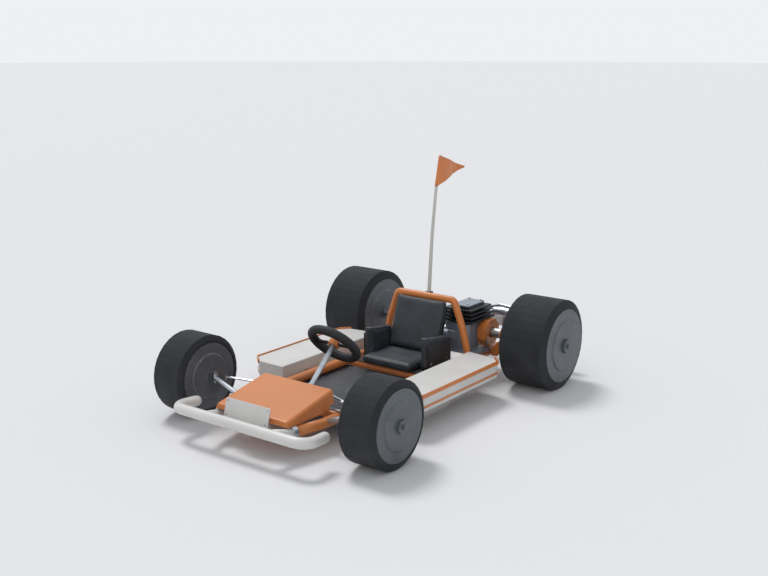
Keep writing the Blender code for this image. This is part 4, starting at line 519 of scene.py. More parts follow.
def dress(node, width):
    """Stands a copy of a CAD node with rounded edges in the node's place."""
    work = eased(merged_copy(node), width)
    return add_piece(f"{node}_finished", work, SLOT_OF[node], BODY_OF[node], (node,))


def facing(origin, out, up=UP):
    """A matrix whose +Z points out and whose +Y is near up."""
    out = Vector(out).normalized()
    across = Vector(up).cross(out)
    if across.length < 0.001:
        across = ACROSS
    across = across.normalized()
    rise = out.cross(across)
    return Matrix.Translation(origin) @ Matrix((across, rise, out)).transposed().to_4x4()


def laid(across, up, origin):
    """A matrix whose +X and +Y lie along two directions."""
    across = Vector(across).normalized()
    up = Vector(up).normalized()
    return Matrix.Translation(origin) @ Matrix((across, up, across.cross(up))).transposed().to_4x4()


def across_at(x, spot):
    """A matrix whose +Z runs across the kart, at a place along it and a height."""
    return Matrix.Translation((x, *spot)) @ Matrix.Rotation(math.pi / 2, 4, "Y")


def bolt_circle(place, count, radius, height=0.0, start=0.0):
    """Matrices evenly round a circle on a matrix's plane."""
    arm = Matrix.Translation((radius, 0, height))
    return [place @ Matrix.Rotation(math.tau * step / count + start, 4, "Z") @ arm for step in range(count)]


def of_kind(items, kind):
    return [item for item in items if isinstance(item, kind)]


def boxed(low, high):
    """A plain box between two corners."""
    work = bmesh.new()
    bmesh.ops.create_cube(work, size=1.0)
    bmesh.ops.scale(work, vec=high - low, verts=work.verts)
    bmesh.ops.translate(work, vec=(low + high) / 2, verts=work.verts)
    return work


def block(low, high, rounding):
    """A box between two corners with rounded edges."""
    return eased(boxed(Vector(low), Vector(high)), rounding)


def thickened(work, thickness, place, rounding=0.0):
    """A flat bmesh given a thickness both ways from its plane, and rounded edges if asked."""
    grown = bmesh.ops.extrude_face_region(work, geom=work.faces[:])["geom"]
    bmesh.ops.translate(work, vec=(0, 0, thickness), verts=of_kind(grown, bmesh.types.BMVert))
    bmesh.ops.translate(work, vec=(0, 0, -thickness / 2), verts=work.verts)
    bmesh.ops.recalc_face_normals(work, faces=work.faces)
    if rounding:
        eased(work, rounding)
    bmesh.ops.transform(work, matrix=place, verts=work.verts)
    return work


def slab(outline, thickness, place, rounding=0.0):
    """A flat outline given a thickness."""
    work = bmesh.new()
    work.faces.new([work.verts.new((across, up, 0)) for across, up in outline])
    return thickened(work, thickness, place, rounding)


def band(inner, outer, low, high):
    """The square profile of a ring, or of a disc where the inner radius is 0."""
    return [(inner, low), (outer, low), (outer, high), (inner, high)]


def spun(profile, steps, place, start=0.0):
    """A closed profile of (radius, height) points spun about +Z, then laid by a matrix."""
    work = bmesh.new()
    work.verts.layers.float.new("worn")
    turn = (math.cos(start), math.sin(start))
    ring = [work.verts.new((radius * turn[0], radius * turn[1], height)) for radius, height in profile]
    for first, second in zip(ring, ring[1:] + ring[:1]):
        work.edges.new((first, second))
    bmesh.ops.spin(
        work, geom=work.verts[:] + work.edges[:], cent=(0, 0, 0), axis=(0, 0, 1), dvec=(0, 0, 0),
        angle=math.tau, steps=steps, use_merge=True,
    )
    bmesh.ops.remove_doubles(work, verts=work.verts, dist=SAME_RING_POINT)
    bmesh.ops.recalc_face_normals(work, faces=work.faces)
    bmesh.ops.transform(work, matrix=place, verts=work.verts)
    return work


def rounded(route, radius, steps=8):
    """A route's points with each inner corner replaced by an arc of the radius."""
    points = [Vector(point) for point in route]
    path = [points[0]]
    for before, corner, after in zip(points, points[1:], points[2:]):
        into = (before - corner).normalized()
        out = (after - corner).normalized()
        half = into.angle(out) / 2
        if half > NEARLY_STRAIGHT:
            path.append(corner)
            continue
        shorter = BEND_REACH * min((before - corner).length, (after - corner).length)
        reach = min(radius / math.tan(half), shorter)
        centre = corner + (into + out).normalized() * (reach / math.cos(half))
        first = corner + into * reach - centre
        last = corner + out * reach - centre
        sweep = first.angle(last)
        for step in range(steps + 1):
            share = step / steps
            arm = first * math.sin((1 - share) * sweep) + last * math.sin(share * sweep)
            path.append(centre + arm / math.sin(sweep))
    path.append(points[-1])
    return path


def path_frames(path, closed):
    """A matrix at each point of a path: +Z along it, and turned as little as possible from the last one."""
    count = len(path)
    frames = []
    lean = None
    for index, point in enumerate(path):
        before = path[index - 1] if closed or index else point
        after = path[(index + 1) % count] if closed or index < count - 1 else point
        along = (after - before).normalized()
        if lean is None:
            lean = along.orthogonal().normalized()
        lean = (lean - along * lean.dot(along)).normalized()
        turn = Matrix((lean, along.cross(lean), along)).transposed().to_4x4()
        frames.append(Matrix.Translation(point) @ turn)
    return frames


def domed(frames, sizes, steps):
    """Adds shrinking rings beyond both ends of a path's matrices."""
    for at_end in (False, True):
        tip = frames[-1] if at_end else frames[0]
        size = sizes[-1] if at_end else sizes[0]
        for step in range(1, steps + 1):
            angle = math.pi / 2 * step / (steps + 0.5)
            rise = (1 if at_end else -1) * size * math.sin(angle)
            frames.insert(len(frames) if at_end else 0, tip @ Matrix.Translation((0, 0, rise)))
            sizes.insert(len(sizes) if at_end else 0, size * math.cos(angle))


def swept(path, radius, sides=16, closed=False, radii=None, dome=0):
    """A tube: one ring extruded from point to point of a path, its ends filled flat or as domes."""
    frames = path_frames(path, closed)
    sizes = [radius * share for share in (radii or [1.0] * len(path))]
    if dome:
        domed(frames, sizes, dome)
    work = bmesh.new()
    work.verts.layers.float.new("worn")
    first = bmesh.ops.create_circle(work, segments=sides, radius=1.0)["verts"]
    matrices = [spot @ Matrix.Diagonal((size, size, 1.0, 1.0)) for spot, size in zip(frames, sizes)]
    bmesh.ops.transform(work, matrix=matrices[0], verts=first)
    first_ring = work.edges[:]
    ring = first_ring
    for before, after in zip(matrices, matrices[1:]):
        grown = bmesh.ops.extrude_edge_only(work, edges=ring)["geom"]
        ring = of_kind(grown, bmesh.types.BMEdge)
        corners = of_kind(grown, bmesh.types.BMVert)
        bmesh.ops.transform(work, matrix=after @ before.inverted(), verts=corners)
    if closed:
        bmesh.ops.bridge_loops(work, edges=first_ring + ring)
    else:
        bmesh.ops.edgeloop_fill(work, edges=first_ring)
        bmesh.ops.edgeloop_fill(work, edges=ring)
    bmesh.ops.recalc_face_normals(work, faces=work.faces)
    return work


def gathered(*works):
    """Several bmeshes as one."""
    whole = bmesh.new()
    for work in works:
        mesh = bpy.data.meshes.new("part")
        work.to_mesh(mesh)
        work.free()
        whole.from_mesh(mesh)
        bpy.data.meshes.remove(mesh)
    return whole


def screw(place, size):
    """A six-sided head on a washer, standing on a face along the matrix's +Z."""
    washer = spun(band(0, size * WASHER_SHARE, 0, WASHER_THICKNESS), WASHER_STEPS, place)
    height = size * HEAD_SHARE
    head = bmesh.new()
    bmesh.ops.create_cone(head, cap_ends=True, segments=HEAD_SIDES, radius1=size, radius2=size, depth=height)
    bmesh.ops.translate(head, vec=(0, 0, WASHER_THICKNESS + height / 2), verts=head.verts)
    eased(head, size * HEAD_EDGE, 1)
    bmesh.ops.transform(head, matrix=place, verts=head.verts)
    return gathered(washer, head)


def screws(name, places, size, body, slot="steel"):
    return add_piece(name, gathered(*[screw(place, size) for place in places]), slot, body)


def saddle_bead(centre, axis, radius, onto, onto_radius, size):
    """The weld bead where a tube along one axis meets a larger tube along another."""
    axis = Vector(axis).normalized()
    along = Vector(onto).normalized()
    along = (along - axis * along.dot(axis)).normalized()
    over = axis.cross(along)
    path = []
    ripple = []
    for step in range(BEAD_POINTS):
        angle = math.tau * step / BEAD_POINTS
        side = radius * math.sin(angle)
        depth = math.sqrt(onto_radius ** 2 - side ** 2)
        path.append(Vector(centre) + axis * depth + along * radius * math.cos(angle) + over * side)
        ripple.append(1.0 + BEAD_RIPPLE * math.sin(angle * BEAD_RIPPLES))
    return swept(path, size, BEAD_SIDES, True, ripple)


# Wheels
WHEEL_STEPS = 32
WHEELS = {
    "front": {"bore": 0.155, "sidewall": 0.167, "shoulder": 0.0143, "hub": 0.031},
    "rear": {"bore": 0.182, "sidewall": 0.1868, "shoulder": 0.0182, "hub": 0.036},
}
RIB_SHARE = 0.30
RIB_EDGE = 0.6
RIB_PROUD = 0.0008
BEAD_SINK = 0.002
TYRE_ROUNDING = 0.0022
TYRE_SHARP_ANGLE = 8.0
RIM_ROUNDING = 0.0025
HUB_STAND = 0.018
HUB_SHARE = 0.8
HUB_BOLT = 0.0105
DISC_SHARE = 0.68
DISC_SLOPE = 0.0040
DISC_RISE = 0.0055
DISC_SINK = 0.0005
DISC_ROUNDING = 0.0012
DISC_STEPS = 64


def wheel_centre(node):
    """A wheel's middle, its radius and half its width."""
    low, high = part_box(node)
    return (low + high) / 2, (high.z - low.z) / 2, (high.x - low.x) / 2


def tyre(end, word, side):
    """A tyre with broad flats round its tread and a moulded rib on each side."""
    node = f"{end}_tyre_{word}"
    sizes = WHEELS[end]
    centre, radius, half = wheel_centre(node)
    crown = radius / math.cos(math.pi / WHEEL_STEPS)
    bore = sizes["bore"]
    land = sizes["sidewall"]
    rib = (land - bore) * RIB_SHARE
    proud = half + RIB_PROUD
    face = [
        (bore, half - BEAD_SINK), (bore + rib, half - BEAD_SINK), (bore + rib, proud),
        (land - rib * RIB_EDGE, proud), (land - rib * RIB_EDGE, half), (land, half),
        (crown, half - sizes["shoulder"]),
    ]
    profile = face + [(across, -along) for across, along in reversed(face)]
    place = Matrix.Translation(centre) @ Matrix.Rotation(side * math.pi / 2, 4, "Y")
    work = spun(profile, WHEEL_STEPS, place, math.pi / WHEEL_STEPS)
    eased(work, TYRE_ROUNDING, sharper=TYRE_SHARP_ANGLE)
    add_piece(f"{node}_rubber", work, "tyre_rubber", BODY_OF[node], (node,))


def rim(end, word, side):
    """The wheel's discs and hub, with a raised plate on each disc and a hub bolt."""
    node = f"{end}_rim_{word}"
    body = BODY_OF[node]
    dress(node, RIM_ROUNDING)
    centre, _radius, half = wheel_centre(f"{end}_tyre_{word}")
    hub = WHEELS[end]["hub"] * HUB_SHARE
    disc = DISC_SHARE * WHEELS[end]["bore"]
    profile = [(hub, 0), (disc + DISC_SLOPE, 0), (disc - DISC_SLOPE, DISC_RISE), (hub, DISC_RISE)]
    plates = []
    for way in (1, -1):
        face = facing(centre + ACROSS * side * way * (half - DISC_SINK), (side * way, 0, 0))
        plates.append(eased(spun(profile, DISC_STEPS, face), DISC_ROUNDING))
    add_piece(f"{end}_rim_plates_{word}", gathered(*plates), "rim_metal", body)
    outward = facing(centre + ACROSS * side * (half + HUB_STAND), (side, 0, 0))
    add_piece(f"{end}_hub_bolt_{word}", screw(outward, HUB_BOLT), "rim_metal", body)


class KART_OT_wheels(bpy.types.Operator):
    """Builds the four tyres and the four rims with their plates and bolts"""

    bl_idname = "kart.wheels"
    bl_label = "Wheels"

    def execute(self, context):
        for end in WHEELS:
            for word, side in SIDES:
                tyre(end, word, side)
                rim(end, word, side)
        return {"FINISHED"}


# Frame
RAIL_RADIUS = 0.023
RAIL_X = 0.243
RAIL_Z = 0.118
RAIL_ENDS = (0.775, -0.66)
RAIL_NOSE = (0.210, -0.805)
RAIL_BEND = 0.20
CROSS_RADIUS = 0.021
CROSS_Y = (-0.555, 0.752)
OUTRIGGER_RADIUS = 0.014
OUTRIGGER_SIDES = 20
OUTRIGGERS = ((-0.170, 0.2812), (0.220, 0.2812))
HOOP_RADIUS = 0.018
HOOP_BEND = 0.030
HOOP_CORNER = (0.172, 0.432, 0.421)
HOOP_LEG = ((0.222, 0.436, 0.280), (0.2475, 0.440, 0.175), (0.245, 0.440, 0.138))
HOOP_WELD_X = 0.2455


def rail_path(side):
    """A rail's centre line from the rear to the nose."""
    ends = [(RAIL_X, RAIL_ENDS[0]), (RAIL_X, RAIL_ENDS[1]), RAIL_NOSE]
    return rounded([(side * across, along, RAIL_Z) for across, along in ends], RAIL_BEND)


def rail(word, side, sides):
    """A main rail with its outriggers."""
    parts = [swept(rail_path(side), RAIL_RADIUS, sides)]
    for along, reach in OUTRIGGERS:
        ends = [Vector((side * across, along, RAIL_Z)) for across in (RAIL_X, reach)]
        parts.append(swept(ends, OUTRIGGER_RADIUS, OUTRIGGER_SIDES))
    node = f"frame_rail_{word}"
    add_piece(f"{node}_tube", gathered(*parts), "orange_paint", "chassis", (node,))


def welds(size):
    """The beads at the cross tubes, the outriggers and the feet of the hoop."""
    beads = []
    for _word, side in SIDES:
        for along in CROSS_Y:
            beads.append(((side * RAIL_X, along, RAIL_Z), (-side, 0, 0), CROSS_RADIUS))
        for along, _reach in OUTRIGGERS:
            beads.append(((side * RAIL_X, along, RAIL_Z), (side, 0, 0), OUTRIGGER_RADIUS))
        beads.append(((side * HOOP_WELD_X, HOOP_LEG[-1][1], RAIL_Z), UP, HOOP_RADIUS))
    parts = [saddle_bead(at, axis, radius, (0, 1, 0), RAIL_RADIUS, size) for at, axis, radius in beads]
    add_piece("frame_welds", gathered(*parts), "orange_paint", "chassis")


def hoop(sides):
    """The bent tube behind the seat."""
    left = [HOOP_CORNER, *HOOP_LEG]
    right = [(-x, y, z) for x, y, z in left]
    path = rounded(right[::-1] + left, HOOP_BEND)
    add_piece("seat_hoop_tube", swept(path, HOOP_RADIUS, sides), "orange_paint", "chassis", ("seat_hoop",))


class KART_OT_frame(bpy.types.Operator):
    """Builds the rails, cross tubes, hoop, axle arms and hangers with their welds"""

    bl_idname = "kart.frame"
    bl_label = "Frame"

    def execute(self, context):
        sizes = context.scene.kart_sizes
        for word, side in SIDES:
            rail(word, side, sizes.tube_sides)
            dress(f"axle_hanger_{word}", sizes.edge)
            dress(f"front_axle_arm_{word}", sizes.edge)
        for node in ("front_cross_tube", "seat_cross_tube", "rear_cross_tube"):
            dress(node, sizes.edge / 2)
        hoop(sizes.tube_sides)
        welds(sizes.weld)
        return {"FINISHED"}


# Bumpers
BOW = ((0.0, -0.943, 0.140), (0.20, -0.943, 0.140), (0.379, -0.938, 0.138), (0.369, -0.812, 0.131))
BOW_RADIUS = 0.024
BOW_BEND = 0.080
BOW_DOME_STEPS = 4
SUPPORT_RADIUS = 0.021
SUPPORT_X = 0.180
SUPPORT_LEAD = 0.026
SUPPORT_BEND = 0.10
SLEEVE_RADIUS = 0.0265
SLEEVE_LENGTH = 0.024
SLEEVE_GAP = 0.0003
SLEEVE_ROUNDING = 0.0020


def front_bow(sides):
    """The bowed tube with rounded ends, its two supports, and a chrome sleeve where each meets its rail."""
    half = rounded(BOW, BOW_BEND)
    path = [Vector((-point.x, point.y, point.z)) for point in reversed(half[1:])] + half
    parts = [swept(path, BOW_RADIUS, sides, dome=BOW_DOME_STEPS)]
    sleeves = []
    for _word, side in SIDES:
        line = rail_path(side)
        lean = (line[-1] - line[-2]).normalized()
        start = line[-1] + lean * SLEEVE_GAP
        collar = start + lean * SLEEVE_LENGTH
        head = Vector((side * SUPPORT_X, BOW[1][1], BOW[1][2]))
        support = rounded((start, collar + lean * SUPPORT_LEAD, head), SUPPORT_BEND)
        parts.append(swept(support, SUPPORT_RADIUS, sides))
        sleeves.append(eased(swept([start, collar], SLEEVE_RADIUS, sides), SLEEVE_ROUNDING))
    add_piece("front_bumper_tube", gathered(*parts), "white_paint", "chassis", ("front_bumper",))
    add_piece("front_bumper_sleeves", gathered(*sleeves), "chrome", "chassis")


class KART_OT_bumpers(bpy.types.Operator):
    """Builds the front bow, its sleeves and the rear bar"""

    bl_idname = "kart.bumpers"
    bl_label = "Bumpers"

    def execute(self, context):
        sizes = context.scene.kart_sizes
        front_bow(sizes.tube_sides)
        dress("rear_bumper", sizes.edge / 2)
        return {"FINISHED"}


# Body panels
POD_OUTER_X = 0.4876
POD_ENDS_Y = (-0.340, 0.402)
POD_CORNERS = (0.052, 0.046)
POD_FRONT_EASE = 0.004
POD_TAIL = 0.022
STRIPE_Z = (0.1255, 0.1365)
STRIPE_PROUD = (0.0025, 0.0034)
PLATE_MIDDLE = Vector((0.0, -0.8755, 0.1752))
PLATE_UP = Vector((0.0, 0.268269, 0.963336))
PLATE_HALF = (0.112, 0.030)
PLATE_SCREW = 0.0022
PAN_SCREW = 0.0028
PAN_SCREW_INSET = 0.036
PAN_SCREWS_Y = (-0.50, -0.38, -0.26, -0.14, -0.02, 0.07)
PANEL_EDGE = 0.8


def pod_line(side, grow):
    """The outside of a pod in plan at an offset from it."""
    front = POD_ENDS_Y[0] - grow
    rear = POD_ENDS_Y[1] + grow
    outer = POD_OUTER_X + grow
    line = [
        (outer - POD_CORNERS[0], front + POD_FRONT_EASE),
        (outer, front + POD_CORNERS[0]),
        (outer, rear - POD_CORNERS[1] - POD_TAIL),
        (outer - POD_CORNERS[1], rear - POD_TAIL),
    ]
    return [(side * across, along) for across, along in line]


def pod_stripe(word, side):
    """The painted skin over the raised rib on a pod's side."""
    outline = pod_line(side, STRIPE_PROUD[1]) + pod_line(side, STRIPE_PROUD[0])[::-1]
    height = STRIPE_Z[1] - STRIPE_Z[0]
    place = Matrix.Translation((0, 0, sum(STRIPE_Z) / 2))
    add_piece(f"pod_stripe_{word}", slab(outline, height, place), "nose_plastic", "chassis")


def panel_screws():
    """Small screws at the plate's corners and along the floor pan's edges."""
    out = Vector((0, -PLATE_UP.z, PLATE_UP.y))
    half_across, half_up = PLATE_HALF
    plate = []
    for across in (-half_across, half_across):
        for rise in (-half_up, half_up):
            plate.append(facing(PLATE_MIDDLE + ACROSS * across + PLATE_UP * rise, out))
    screws("plate_screws", plate, PLATE_SCREW, "chassis")
    _low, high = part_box("floor_pan")
    across = RAIL_X - PAN_SCREW_INSET
    rows = [facing((side * across, along, high.z), UP) for _word, side in SIDES for along in PAN_SCREWS_Y]
    screws("pan_screws", rows, PAN_SCREW, "chassis")


class KART_OT_body(bpy.types.Operator):
    """Builds the nose, the plate, the side pods with their stripes, and the floor pan"""

    bl_idname = "kart.body"
    bl_label = "Body panels"

    def execute(self, context):
        edge = context.scene.kart_sizes.edge
        for node in ("nose_cone", "number_plate", "floor_pan"):
            dress(node, edge * PANEL_EDGE)
        for word, side in SIDES:
            dress(f"side_pod_{word}", edge)
            dress(f"pod_top_trim_{word}", edge)
            pod_stripe(word, side)
        panel_screws()
        return {"FINISHED"}


# Seat
BACK_TILT = math.radians(17.5)
BACK_FOOT = Vector((0, 0.3035, 0.1660))
BACK_SIZE = (0.296, 0.266, 0.034)
BACK_UP = Vector((0, math.sin(BACK_TILT), math.cos(BACK_TILT)))
BACK_OUT = Vector((0, math.cos(BACK_TILT), -math.sin(BACK_TILT)))
BACK_LIFT = 0.002
BASE_DROP = 0.002
BASE_INSET = Vector((0.004, 0.004, 0.004))
BOLSTER_INSET = Vector((0.002, 0.002, 0))
BOLSTER_FALL = 0.028
PAN_EDGE = 0.0008
PAD_ROUNDING = 0.014
PAD_ROUNDING_STEPS = 3
PAD_SMOOTHINGS = 3
PAD_REST_GAP = 0.0002
CLOTH_FRAMES = 20
CLOTH_PRESSURE = 4.0
WELT_CORNER = 0.016
WELT_DEPTH = 0.004
WELT_PROUD = 0.35
WELT_SIDES = 8
WELT_SPACING = 0.012
WELT_CORNER_STEPS = 6
SEAT_BOLT = 0.0045
SEAT_BOLT_X = 0.1960
SEAT_BOLTS_Y = (0.20, 0.33)
SEAT_BOLT_Z = 0.150


def soft_box(size, rounding, place, fall=0.0):
    """A rounded box about its own centre, its top falling towards +Y if asked, laid by a matrix."""
    half = Vector(size) / 2
    work = boxed(-half, half)
    for corner in work.verts:
        if corner.co.z > 0 and fall:
            corner.co.z -= fall * (0.5 + corner.co.y / size[1])
    bevelled(work, work.edges[:], rounding, PAD_ROUNDING_STEPS)
    bmesh.ops.transform(work, matrix=place, verts=work.verts)
    return work


def remeshed(name, work, voxel):
    """A bmesh as an object of even small faces."""
    pad = made_object(name, work)
    grid = pad.modifiers.new("grid", "REMESH")
    grid.mode = "VOXEL"
    grid.voxel_size = voxel
    graph = bpy.context.evaluated_depsgraph_get()
    even = bpy.data.meshes.new_from_object(pad.evaluated_get(graph), depsgraph=graph)
    pad.modifiers.clear()
    pad.data = even
    even.name = name
    work = bmesh.new()
    work.from_mesh(even)
    for _pass in range(PAD_SMOOTHINGS):
        bmesh.ops.smooth_vert(
            work, verts=work.verts, factor=0.5, use_axis_x=True, use_axis_y=True, use_axis_z=True,
        )
    work.to_mesh(even)
    work.free()
    return pad


def swollen(pad, cap, rest_point, rest_out):
    """Lets a pad swell under pressure as cloth, caps how far each point moves, and keeps its rest flat."""
    before = [corner.co.copy() for corner in pad.data.vertices]
    cloth = pad.modifiers.new("swell", "CLOTH")
    cloth.settings.use_pressure = True
    cloth.settings.uniform_pressure_force = CLOTH_PRESSURE
    cloth.settings.effector_weights.gravity = 0.0
    cloth.point_cache.frame_start = 1
    cloth.point_cache.frame_end = CLOTH_FRAMES
    scene = bpy.context.scene
    for step in range(1, CLOTH_FRAMES + 1):
        scene.frame_set(step)
    graph = bpy.context.evaluated_depsgraph_get()
    after = [corner.co.copy() for corner in pad.evaluated_get(graph).data.vertices]
    pad.modifiers.clear()
    scene.frame_set(1)
    for corner, start, end in zip(pad.data.vertices, before, after):
        move = end - start
        if move.length > cap:
            move = move * (cap / move.length)
        spot = start + move
        past = (spot - rest_point).dot(rest_out)
        if past > 0:
            spot = spot - rest_out * past
        corner.co = spot


def welt_on(pad, loop, size):
    """A sewn welt that follows a loop of points laid onto a pad's surface."""
    graph = bpy.context.evaluated_depsgraph_get()
    tree = BVHTree.FromObject(pad, graph)
    path = []
    for point in loop:
        spot, normal, _face, _far = tree.find_nearest(point)
        path.append(spot + normal * size * WELT_PROUD)
    return swept(path, size, WELT_SIDES, True)


def loop_round(place, half_across, half_up, corner, height, fall=0.0):
    """A rounded rectangle of points on a plane, its far end lowered if asked."""
    points = []
    for across, up, start in ((1, 1, 0), (-1, 1, 90), (-1, -1, 180), (1, -1, 270)):
        for step in range(WELT_CORNER_STEPS + 1):
            angle = math.radians(start + step * 90 / WELT_CORNER_STEPS)
            x = across * (half_across - corner) + corner * math.cos(angle)
            y = up * (half_up - corner) + corner * math.sin(angle)
            points.append((x, y))
    dense = []
    for (x0, y0), (x1, y1) in zip(points, points[1:] + points[:1]):
        parts = max(1, round(math.hypot(x1 - x0, y1 - y0) / WELT_SPACING))
        for part in range(parts):
            share = part / parts
            x = x0 + (x1 - x0) * share
            y = y0 + (y1 - y0) * share
            dense.append(place @ Vector((x, y, height - fall * (0.5 + y / (2 * half_up)))))
    return dense


def seat_pad(node, size, place, rest_out, sizes, fall=0.0):
    """A vinyl pad in its CAD solid's space, with a welt round its face."""
    name = f"{node}_pad"
    pad = remeshed(name, soft_box(size, PAD_ROUNDING, place, fall), sizes.voxel)
    rest_out = Vector(rest_out)
    reach = max(corner.co.dot(rest_out) for corner in pad.data.vertices)
    swollen(pad, sizes.swell, rest_out * (reach + PAD_REST_GAP), rest_out)
    pad.data.shade_smooth()
    pad.data.materials.append(FINISHES["seat_vinyl"].material)
    soft = pad.modifiers.new("soft", "SUBSURF")
    soft.levels = 1
    soft.render_levels = 1
    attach(pad, "chassis")
    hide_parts(node)
    loop = loop_round(place, size[0] / 2, size[1] / 2, WELT_CORNER, size[2] / 2 - WELT_DEPTH, fall)
    welt = welt_on(pad, loop, sizes.welt)
    add_piece(f"{node}_welt", welt, "seat_vinyl", "chassis", even=False)


class KART_OT_seat(bpy.types.Operator):
    """Builds the seat's shell and its four vinyl pads with their welts"""

    bl_idname = "kart.seat"
    bl_label = "Seat"

    def execute(self, context):
        sizes = context.scene.kart_sizes
        dress("seat_pan", PAN_EDGE)
        low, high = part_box("seat_base")
        middle = (low + high) / 2 - UP * BASE_DROP
        middle.x = 0
        seat_pad("seat_base", high - low - BASE_INSET, Matrix.Translation(middle), -UP, sizes)
        centre = BACK_FOOT + BACK_UP * (BACK_SIZE[1] / 2 + BACK_LIFT) + BACK_OUT * BACK_SIZE[2] / 2
        back = laid(-ACROSS, BACK_UP, centre)
        seat_pad("seat_back", BACK_SIZE, back, BACK_OUT, sizes)
        for word, side in SIDES:
            node = f"seat_bolster_{word}"
            low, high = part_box(node)
            place = Matrix.Translation((low + high) / 2)
            seat_pad(node, high - low - BOLSTER_INSET, place, (side, 0, 0), sizes, BOLSTER_FALL)
        bolts = [
            facing((side * SEAT_BOLT_X, along, SEAT_BOLT_Z), (side, 0, 0))
            for _word, side in SIDES for along in SEAT_BOLTS_Y
        ]
        screws("seat_bolts", bolts, SEAT_BOLT, "chassis")
        return {"FINISHED"}


# Flag
POLE_RADIUS = 0.010
POLE_TIP_SHARE = 0.7
POLE_LINE = ((0.4570, 0.375), (0.4614, 0.4275), (0.4831, 0.7187), (0.5141, 0.9583), (0.5508, 1.1200))
POLE_BEND = 1.5
POLE_BEND_STEPS = 6
POLE_SIDES = 24
POLE_FOOT_LEAN = (0, 0.0836, 0.9965)
FERRULE_RADIUS = 0.0115
FERRULE_SPAN = (-0.006, 0.030)
FERRULE_ROUNDING = 0.001
FLAG_LENGTH = 0.226
FLAG_HOIST = (0.9669, 1.1147)
FLAG_TIP_Z = 1.0426
FLAG_TIP_SHARE = 0.97
FLAG_THICKNESS = 0.0010
FLAG_GRID = (64, 28)
POLE_GAP = 0.0008
WAVE_HEIGHT = 0.010
WAVE_TURNS = 2.2
RIPPLE_HEIGHT = 0.0016
RIPPLE_TURNS = 9.0
RIPPLE_LEAN = 4.0
HEM_SHARES = (0.03, 0.97)
HEM_POINTS = 40
HEM_RADIUS = 0.0012
HEM_SIDES = 8
HOIST_STEPS = 12
HOIST_SIDES = 20
HOIST_WALL = 0.0014


def pole_spot(height):
    """How far back the pole's centre line is at a height."""
    for (low_y, low_z), (high_y, high_z) in zip(POLE_LINE, POLE_LINE[1:]):
        if height <= high_z:
            break
    return low_y + (high_y - low_y) * (height - low_z) / (high_z - low_z)


def flag_point(out, share):
    """A point of the pennant: out from the hoist, and up it."""
    hoist_z = FLAG_HOIST[0] + share * (FLAG_HOIST[1] - FLAG_HOIST[0])
    height = FLAG_TIP_Z + (hoist_z - FLAG_TIP_Z) * (1 - FLAG_TIP_SHARE * out)
    edge = POLE_RADIUS * POLE_TIP_SHARE + POLE_GAP
    hoist_y = pole_spot(hoist_z) + edge
    tip_y = pole_spot(FLAG_TIP_Z) + edge + FLAG_LENGTH
    wave = WAVE_HEIGHT * math.sin(WAVE_TURNS * math.pi * out) * out ** 0.5
    ripple = RIPPLE_HEIGHT * math.sin(RIPPLE_TURNS * math.pi * out + RIPPLE_LEAN * share) * out
    return Vector((wave + ripple, hoist_y + (tip_y - hoist_y) * out, height))


def pennant():
    """The cloth with a sewn hem down its two long edges and a sleeve round the pole."""
    work = bmesh.new()
    bmesh.ops.create_grid(work, x_segments=FLAG_GRID[0], y_segments=FLAG_GRID[1], size=1.0, calc_uvs=True)
    for corner in work.verts:
        corner.co = flag_point((corner.co.x + 1) / 2, (corner.co.y + 1) / 2)
    bmesh.ops.solidify(work, geom=work.faces[:], thickness=FLAG_THICKNESS)
    cloth = add_piece("pennant", work, "flag_cloth", "chassis", ("flag",), False)
    hems = []
    for share in HEM_SHARES:
        path = [flag_point(out / HEM_POINTS, share) for out in range(HEM_POINTS)]
        hems.append(swept(path, HEM_RADIUS, HEM_SIDES))
    hem = add_piece("pennant_hem", gathered(*hems), "flag_cloth", "chassis")
    hoist = FLAG_HOIST[1] - FLAG_HOIST[0]
    sleeve_path = []
    for step in range(HOIST_STEPS + 1):
        height = FLAG_HOIST[0] + hoist * step / HOIST_STEPS
        sleeve_path.append(Vector((0, pole_spot(height), height)))
    sleeve = swept(sleeve_path, POLE_RADIUS * POLE_TIP_SHARE + HOIST_WALL, HOIST_SIDES)
    add_piece("pennant_sleeve", sleeve, "flag_cloth", "chassis")


class KART_OT_flag(bpy.types.Operator):
    """Builds the pole, its clamp and the pennant"""

    bl_idname = "kart.flag"
    bl_label = "Flag"

    def execute(self, context):
        path = rounded([(0, along, up) for along, up in POLE_LINE], POLE_BEND, POLE_BEND_STEPS)
        foot_y, foot_z = POLE_LINE[0]
        rise = POLE_LINE[-1][1] - foot_z
        taper = [1 - (1 - POLE_TIP_SHARE) * (point.z - foot_z) / rise for point in path]
        work = swept(path, POLE_RADIUS, POLE_SIDES, radii=taper)
        add_piece("flag_pole_rod", work, "pole_fibreglass", "chassis", ("flag_pole",))
        foot = facing((0, foot_y, foot_z), POLE_FOOT_LEAN, ACROSS)
        ferrule = spun(band(0, FERRULE_RADIUS, *FERRULE_SPAN), POLE_SIDES, foot)
        add_piece("pole_ferrule", eased(ferrule, FERRULE_ROUNDING), "grip_rubber", "chassis")
        dress("flag_clamp", context.scene.kart_sizes.edge)
        pennant()
        return {"FINISHED"}


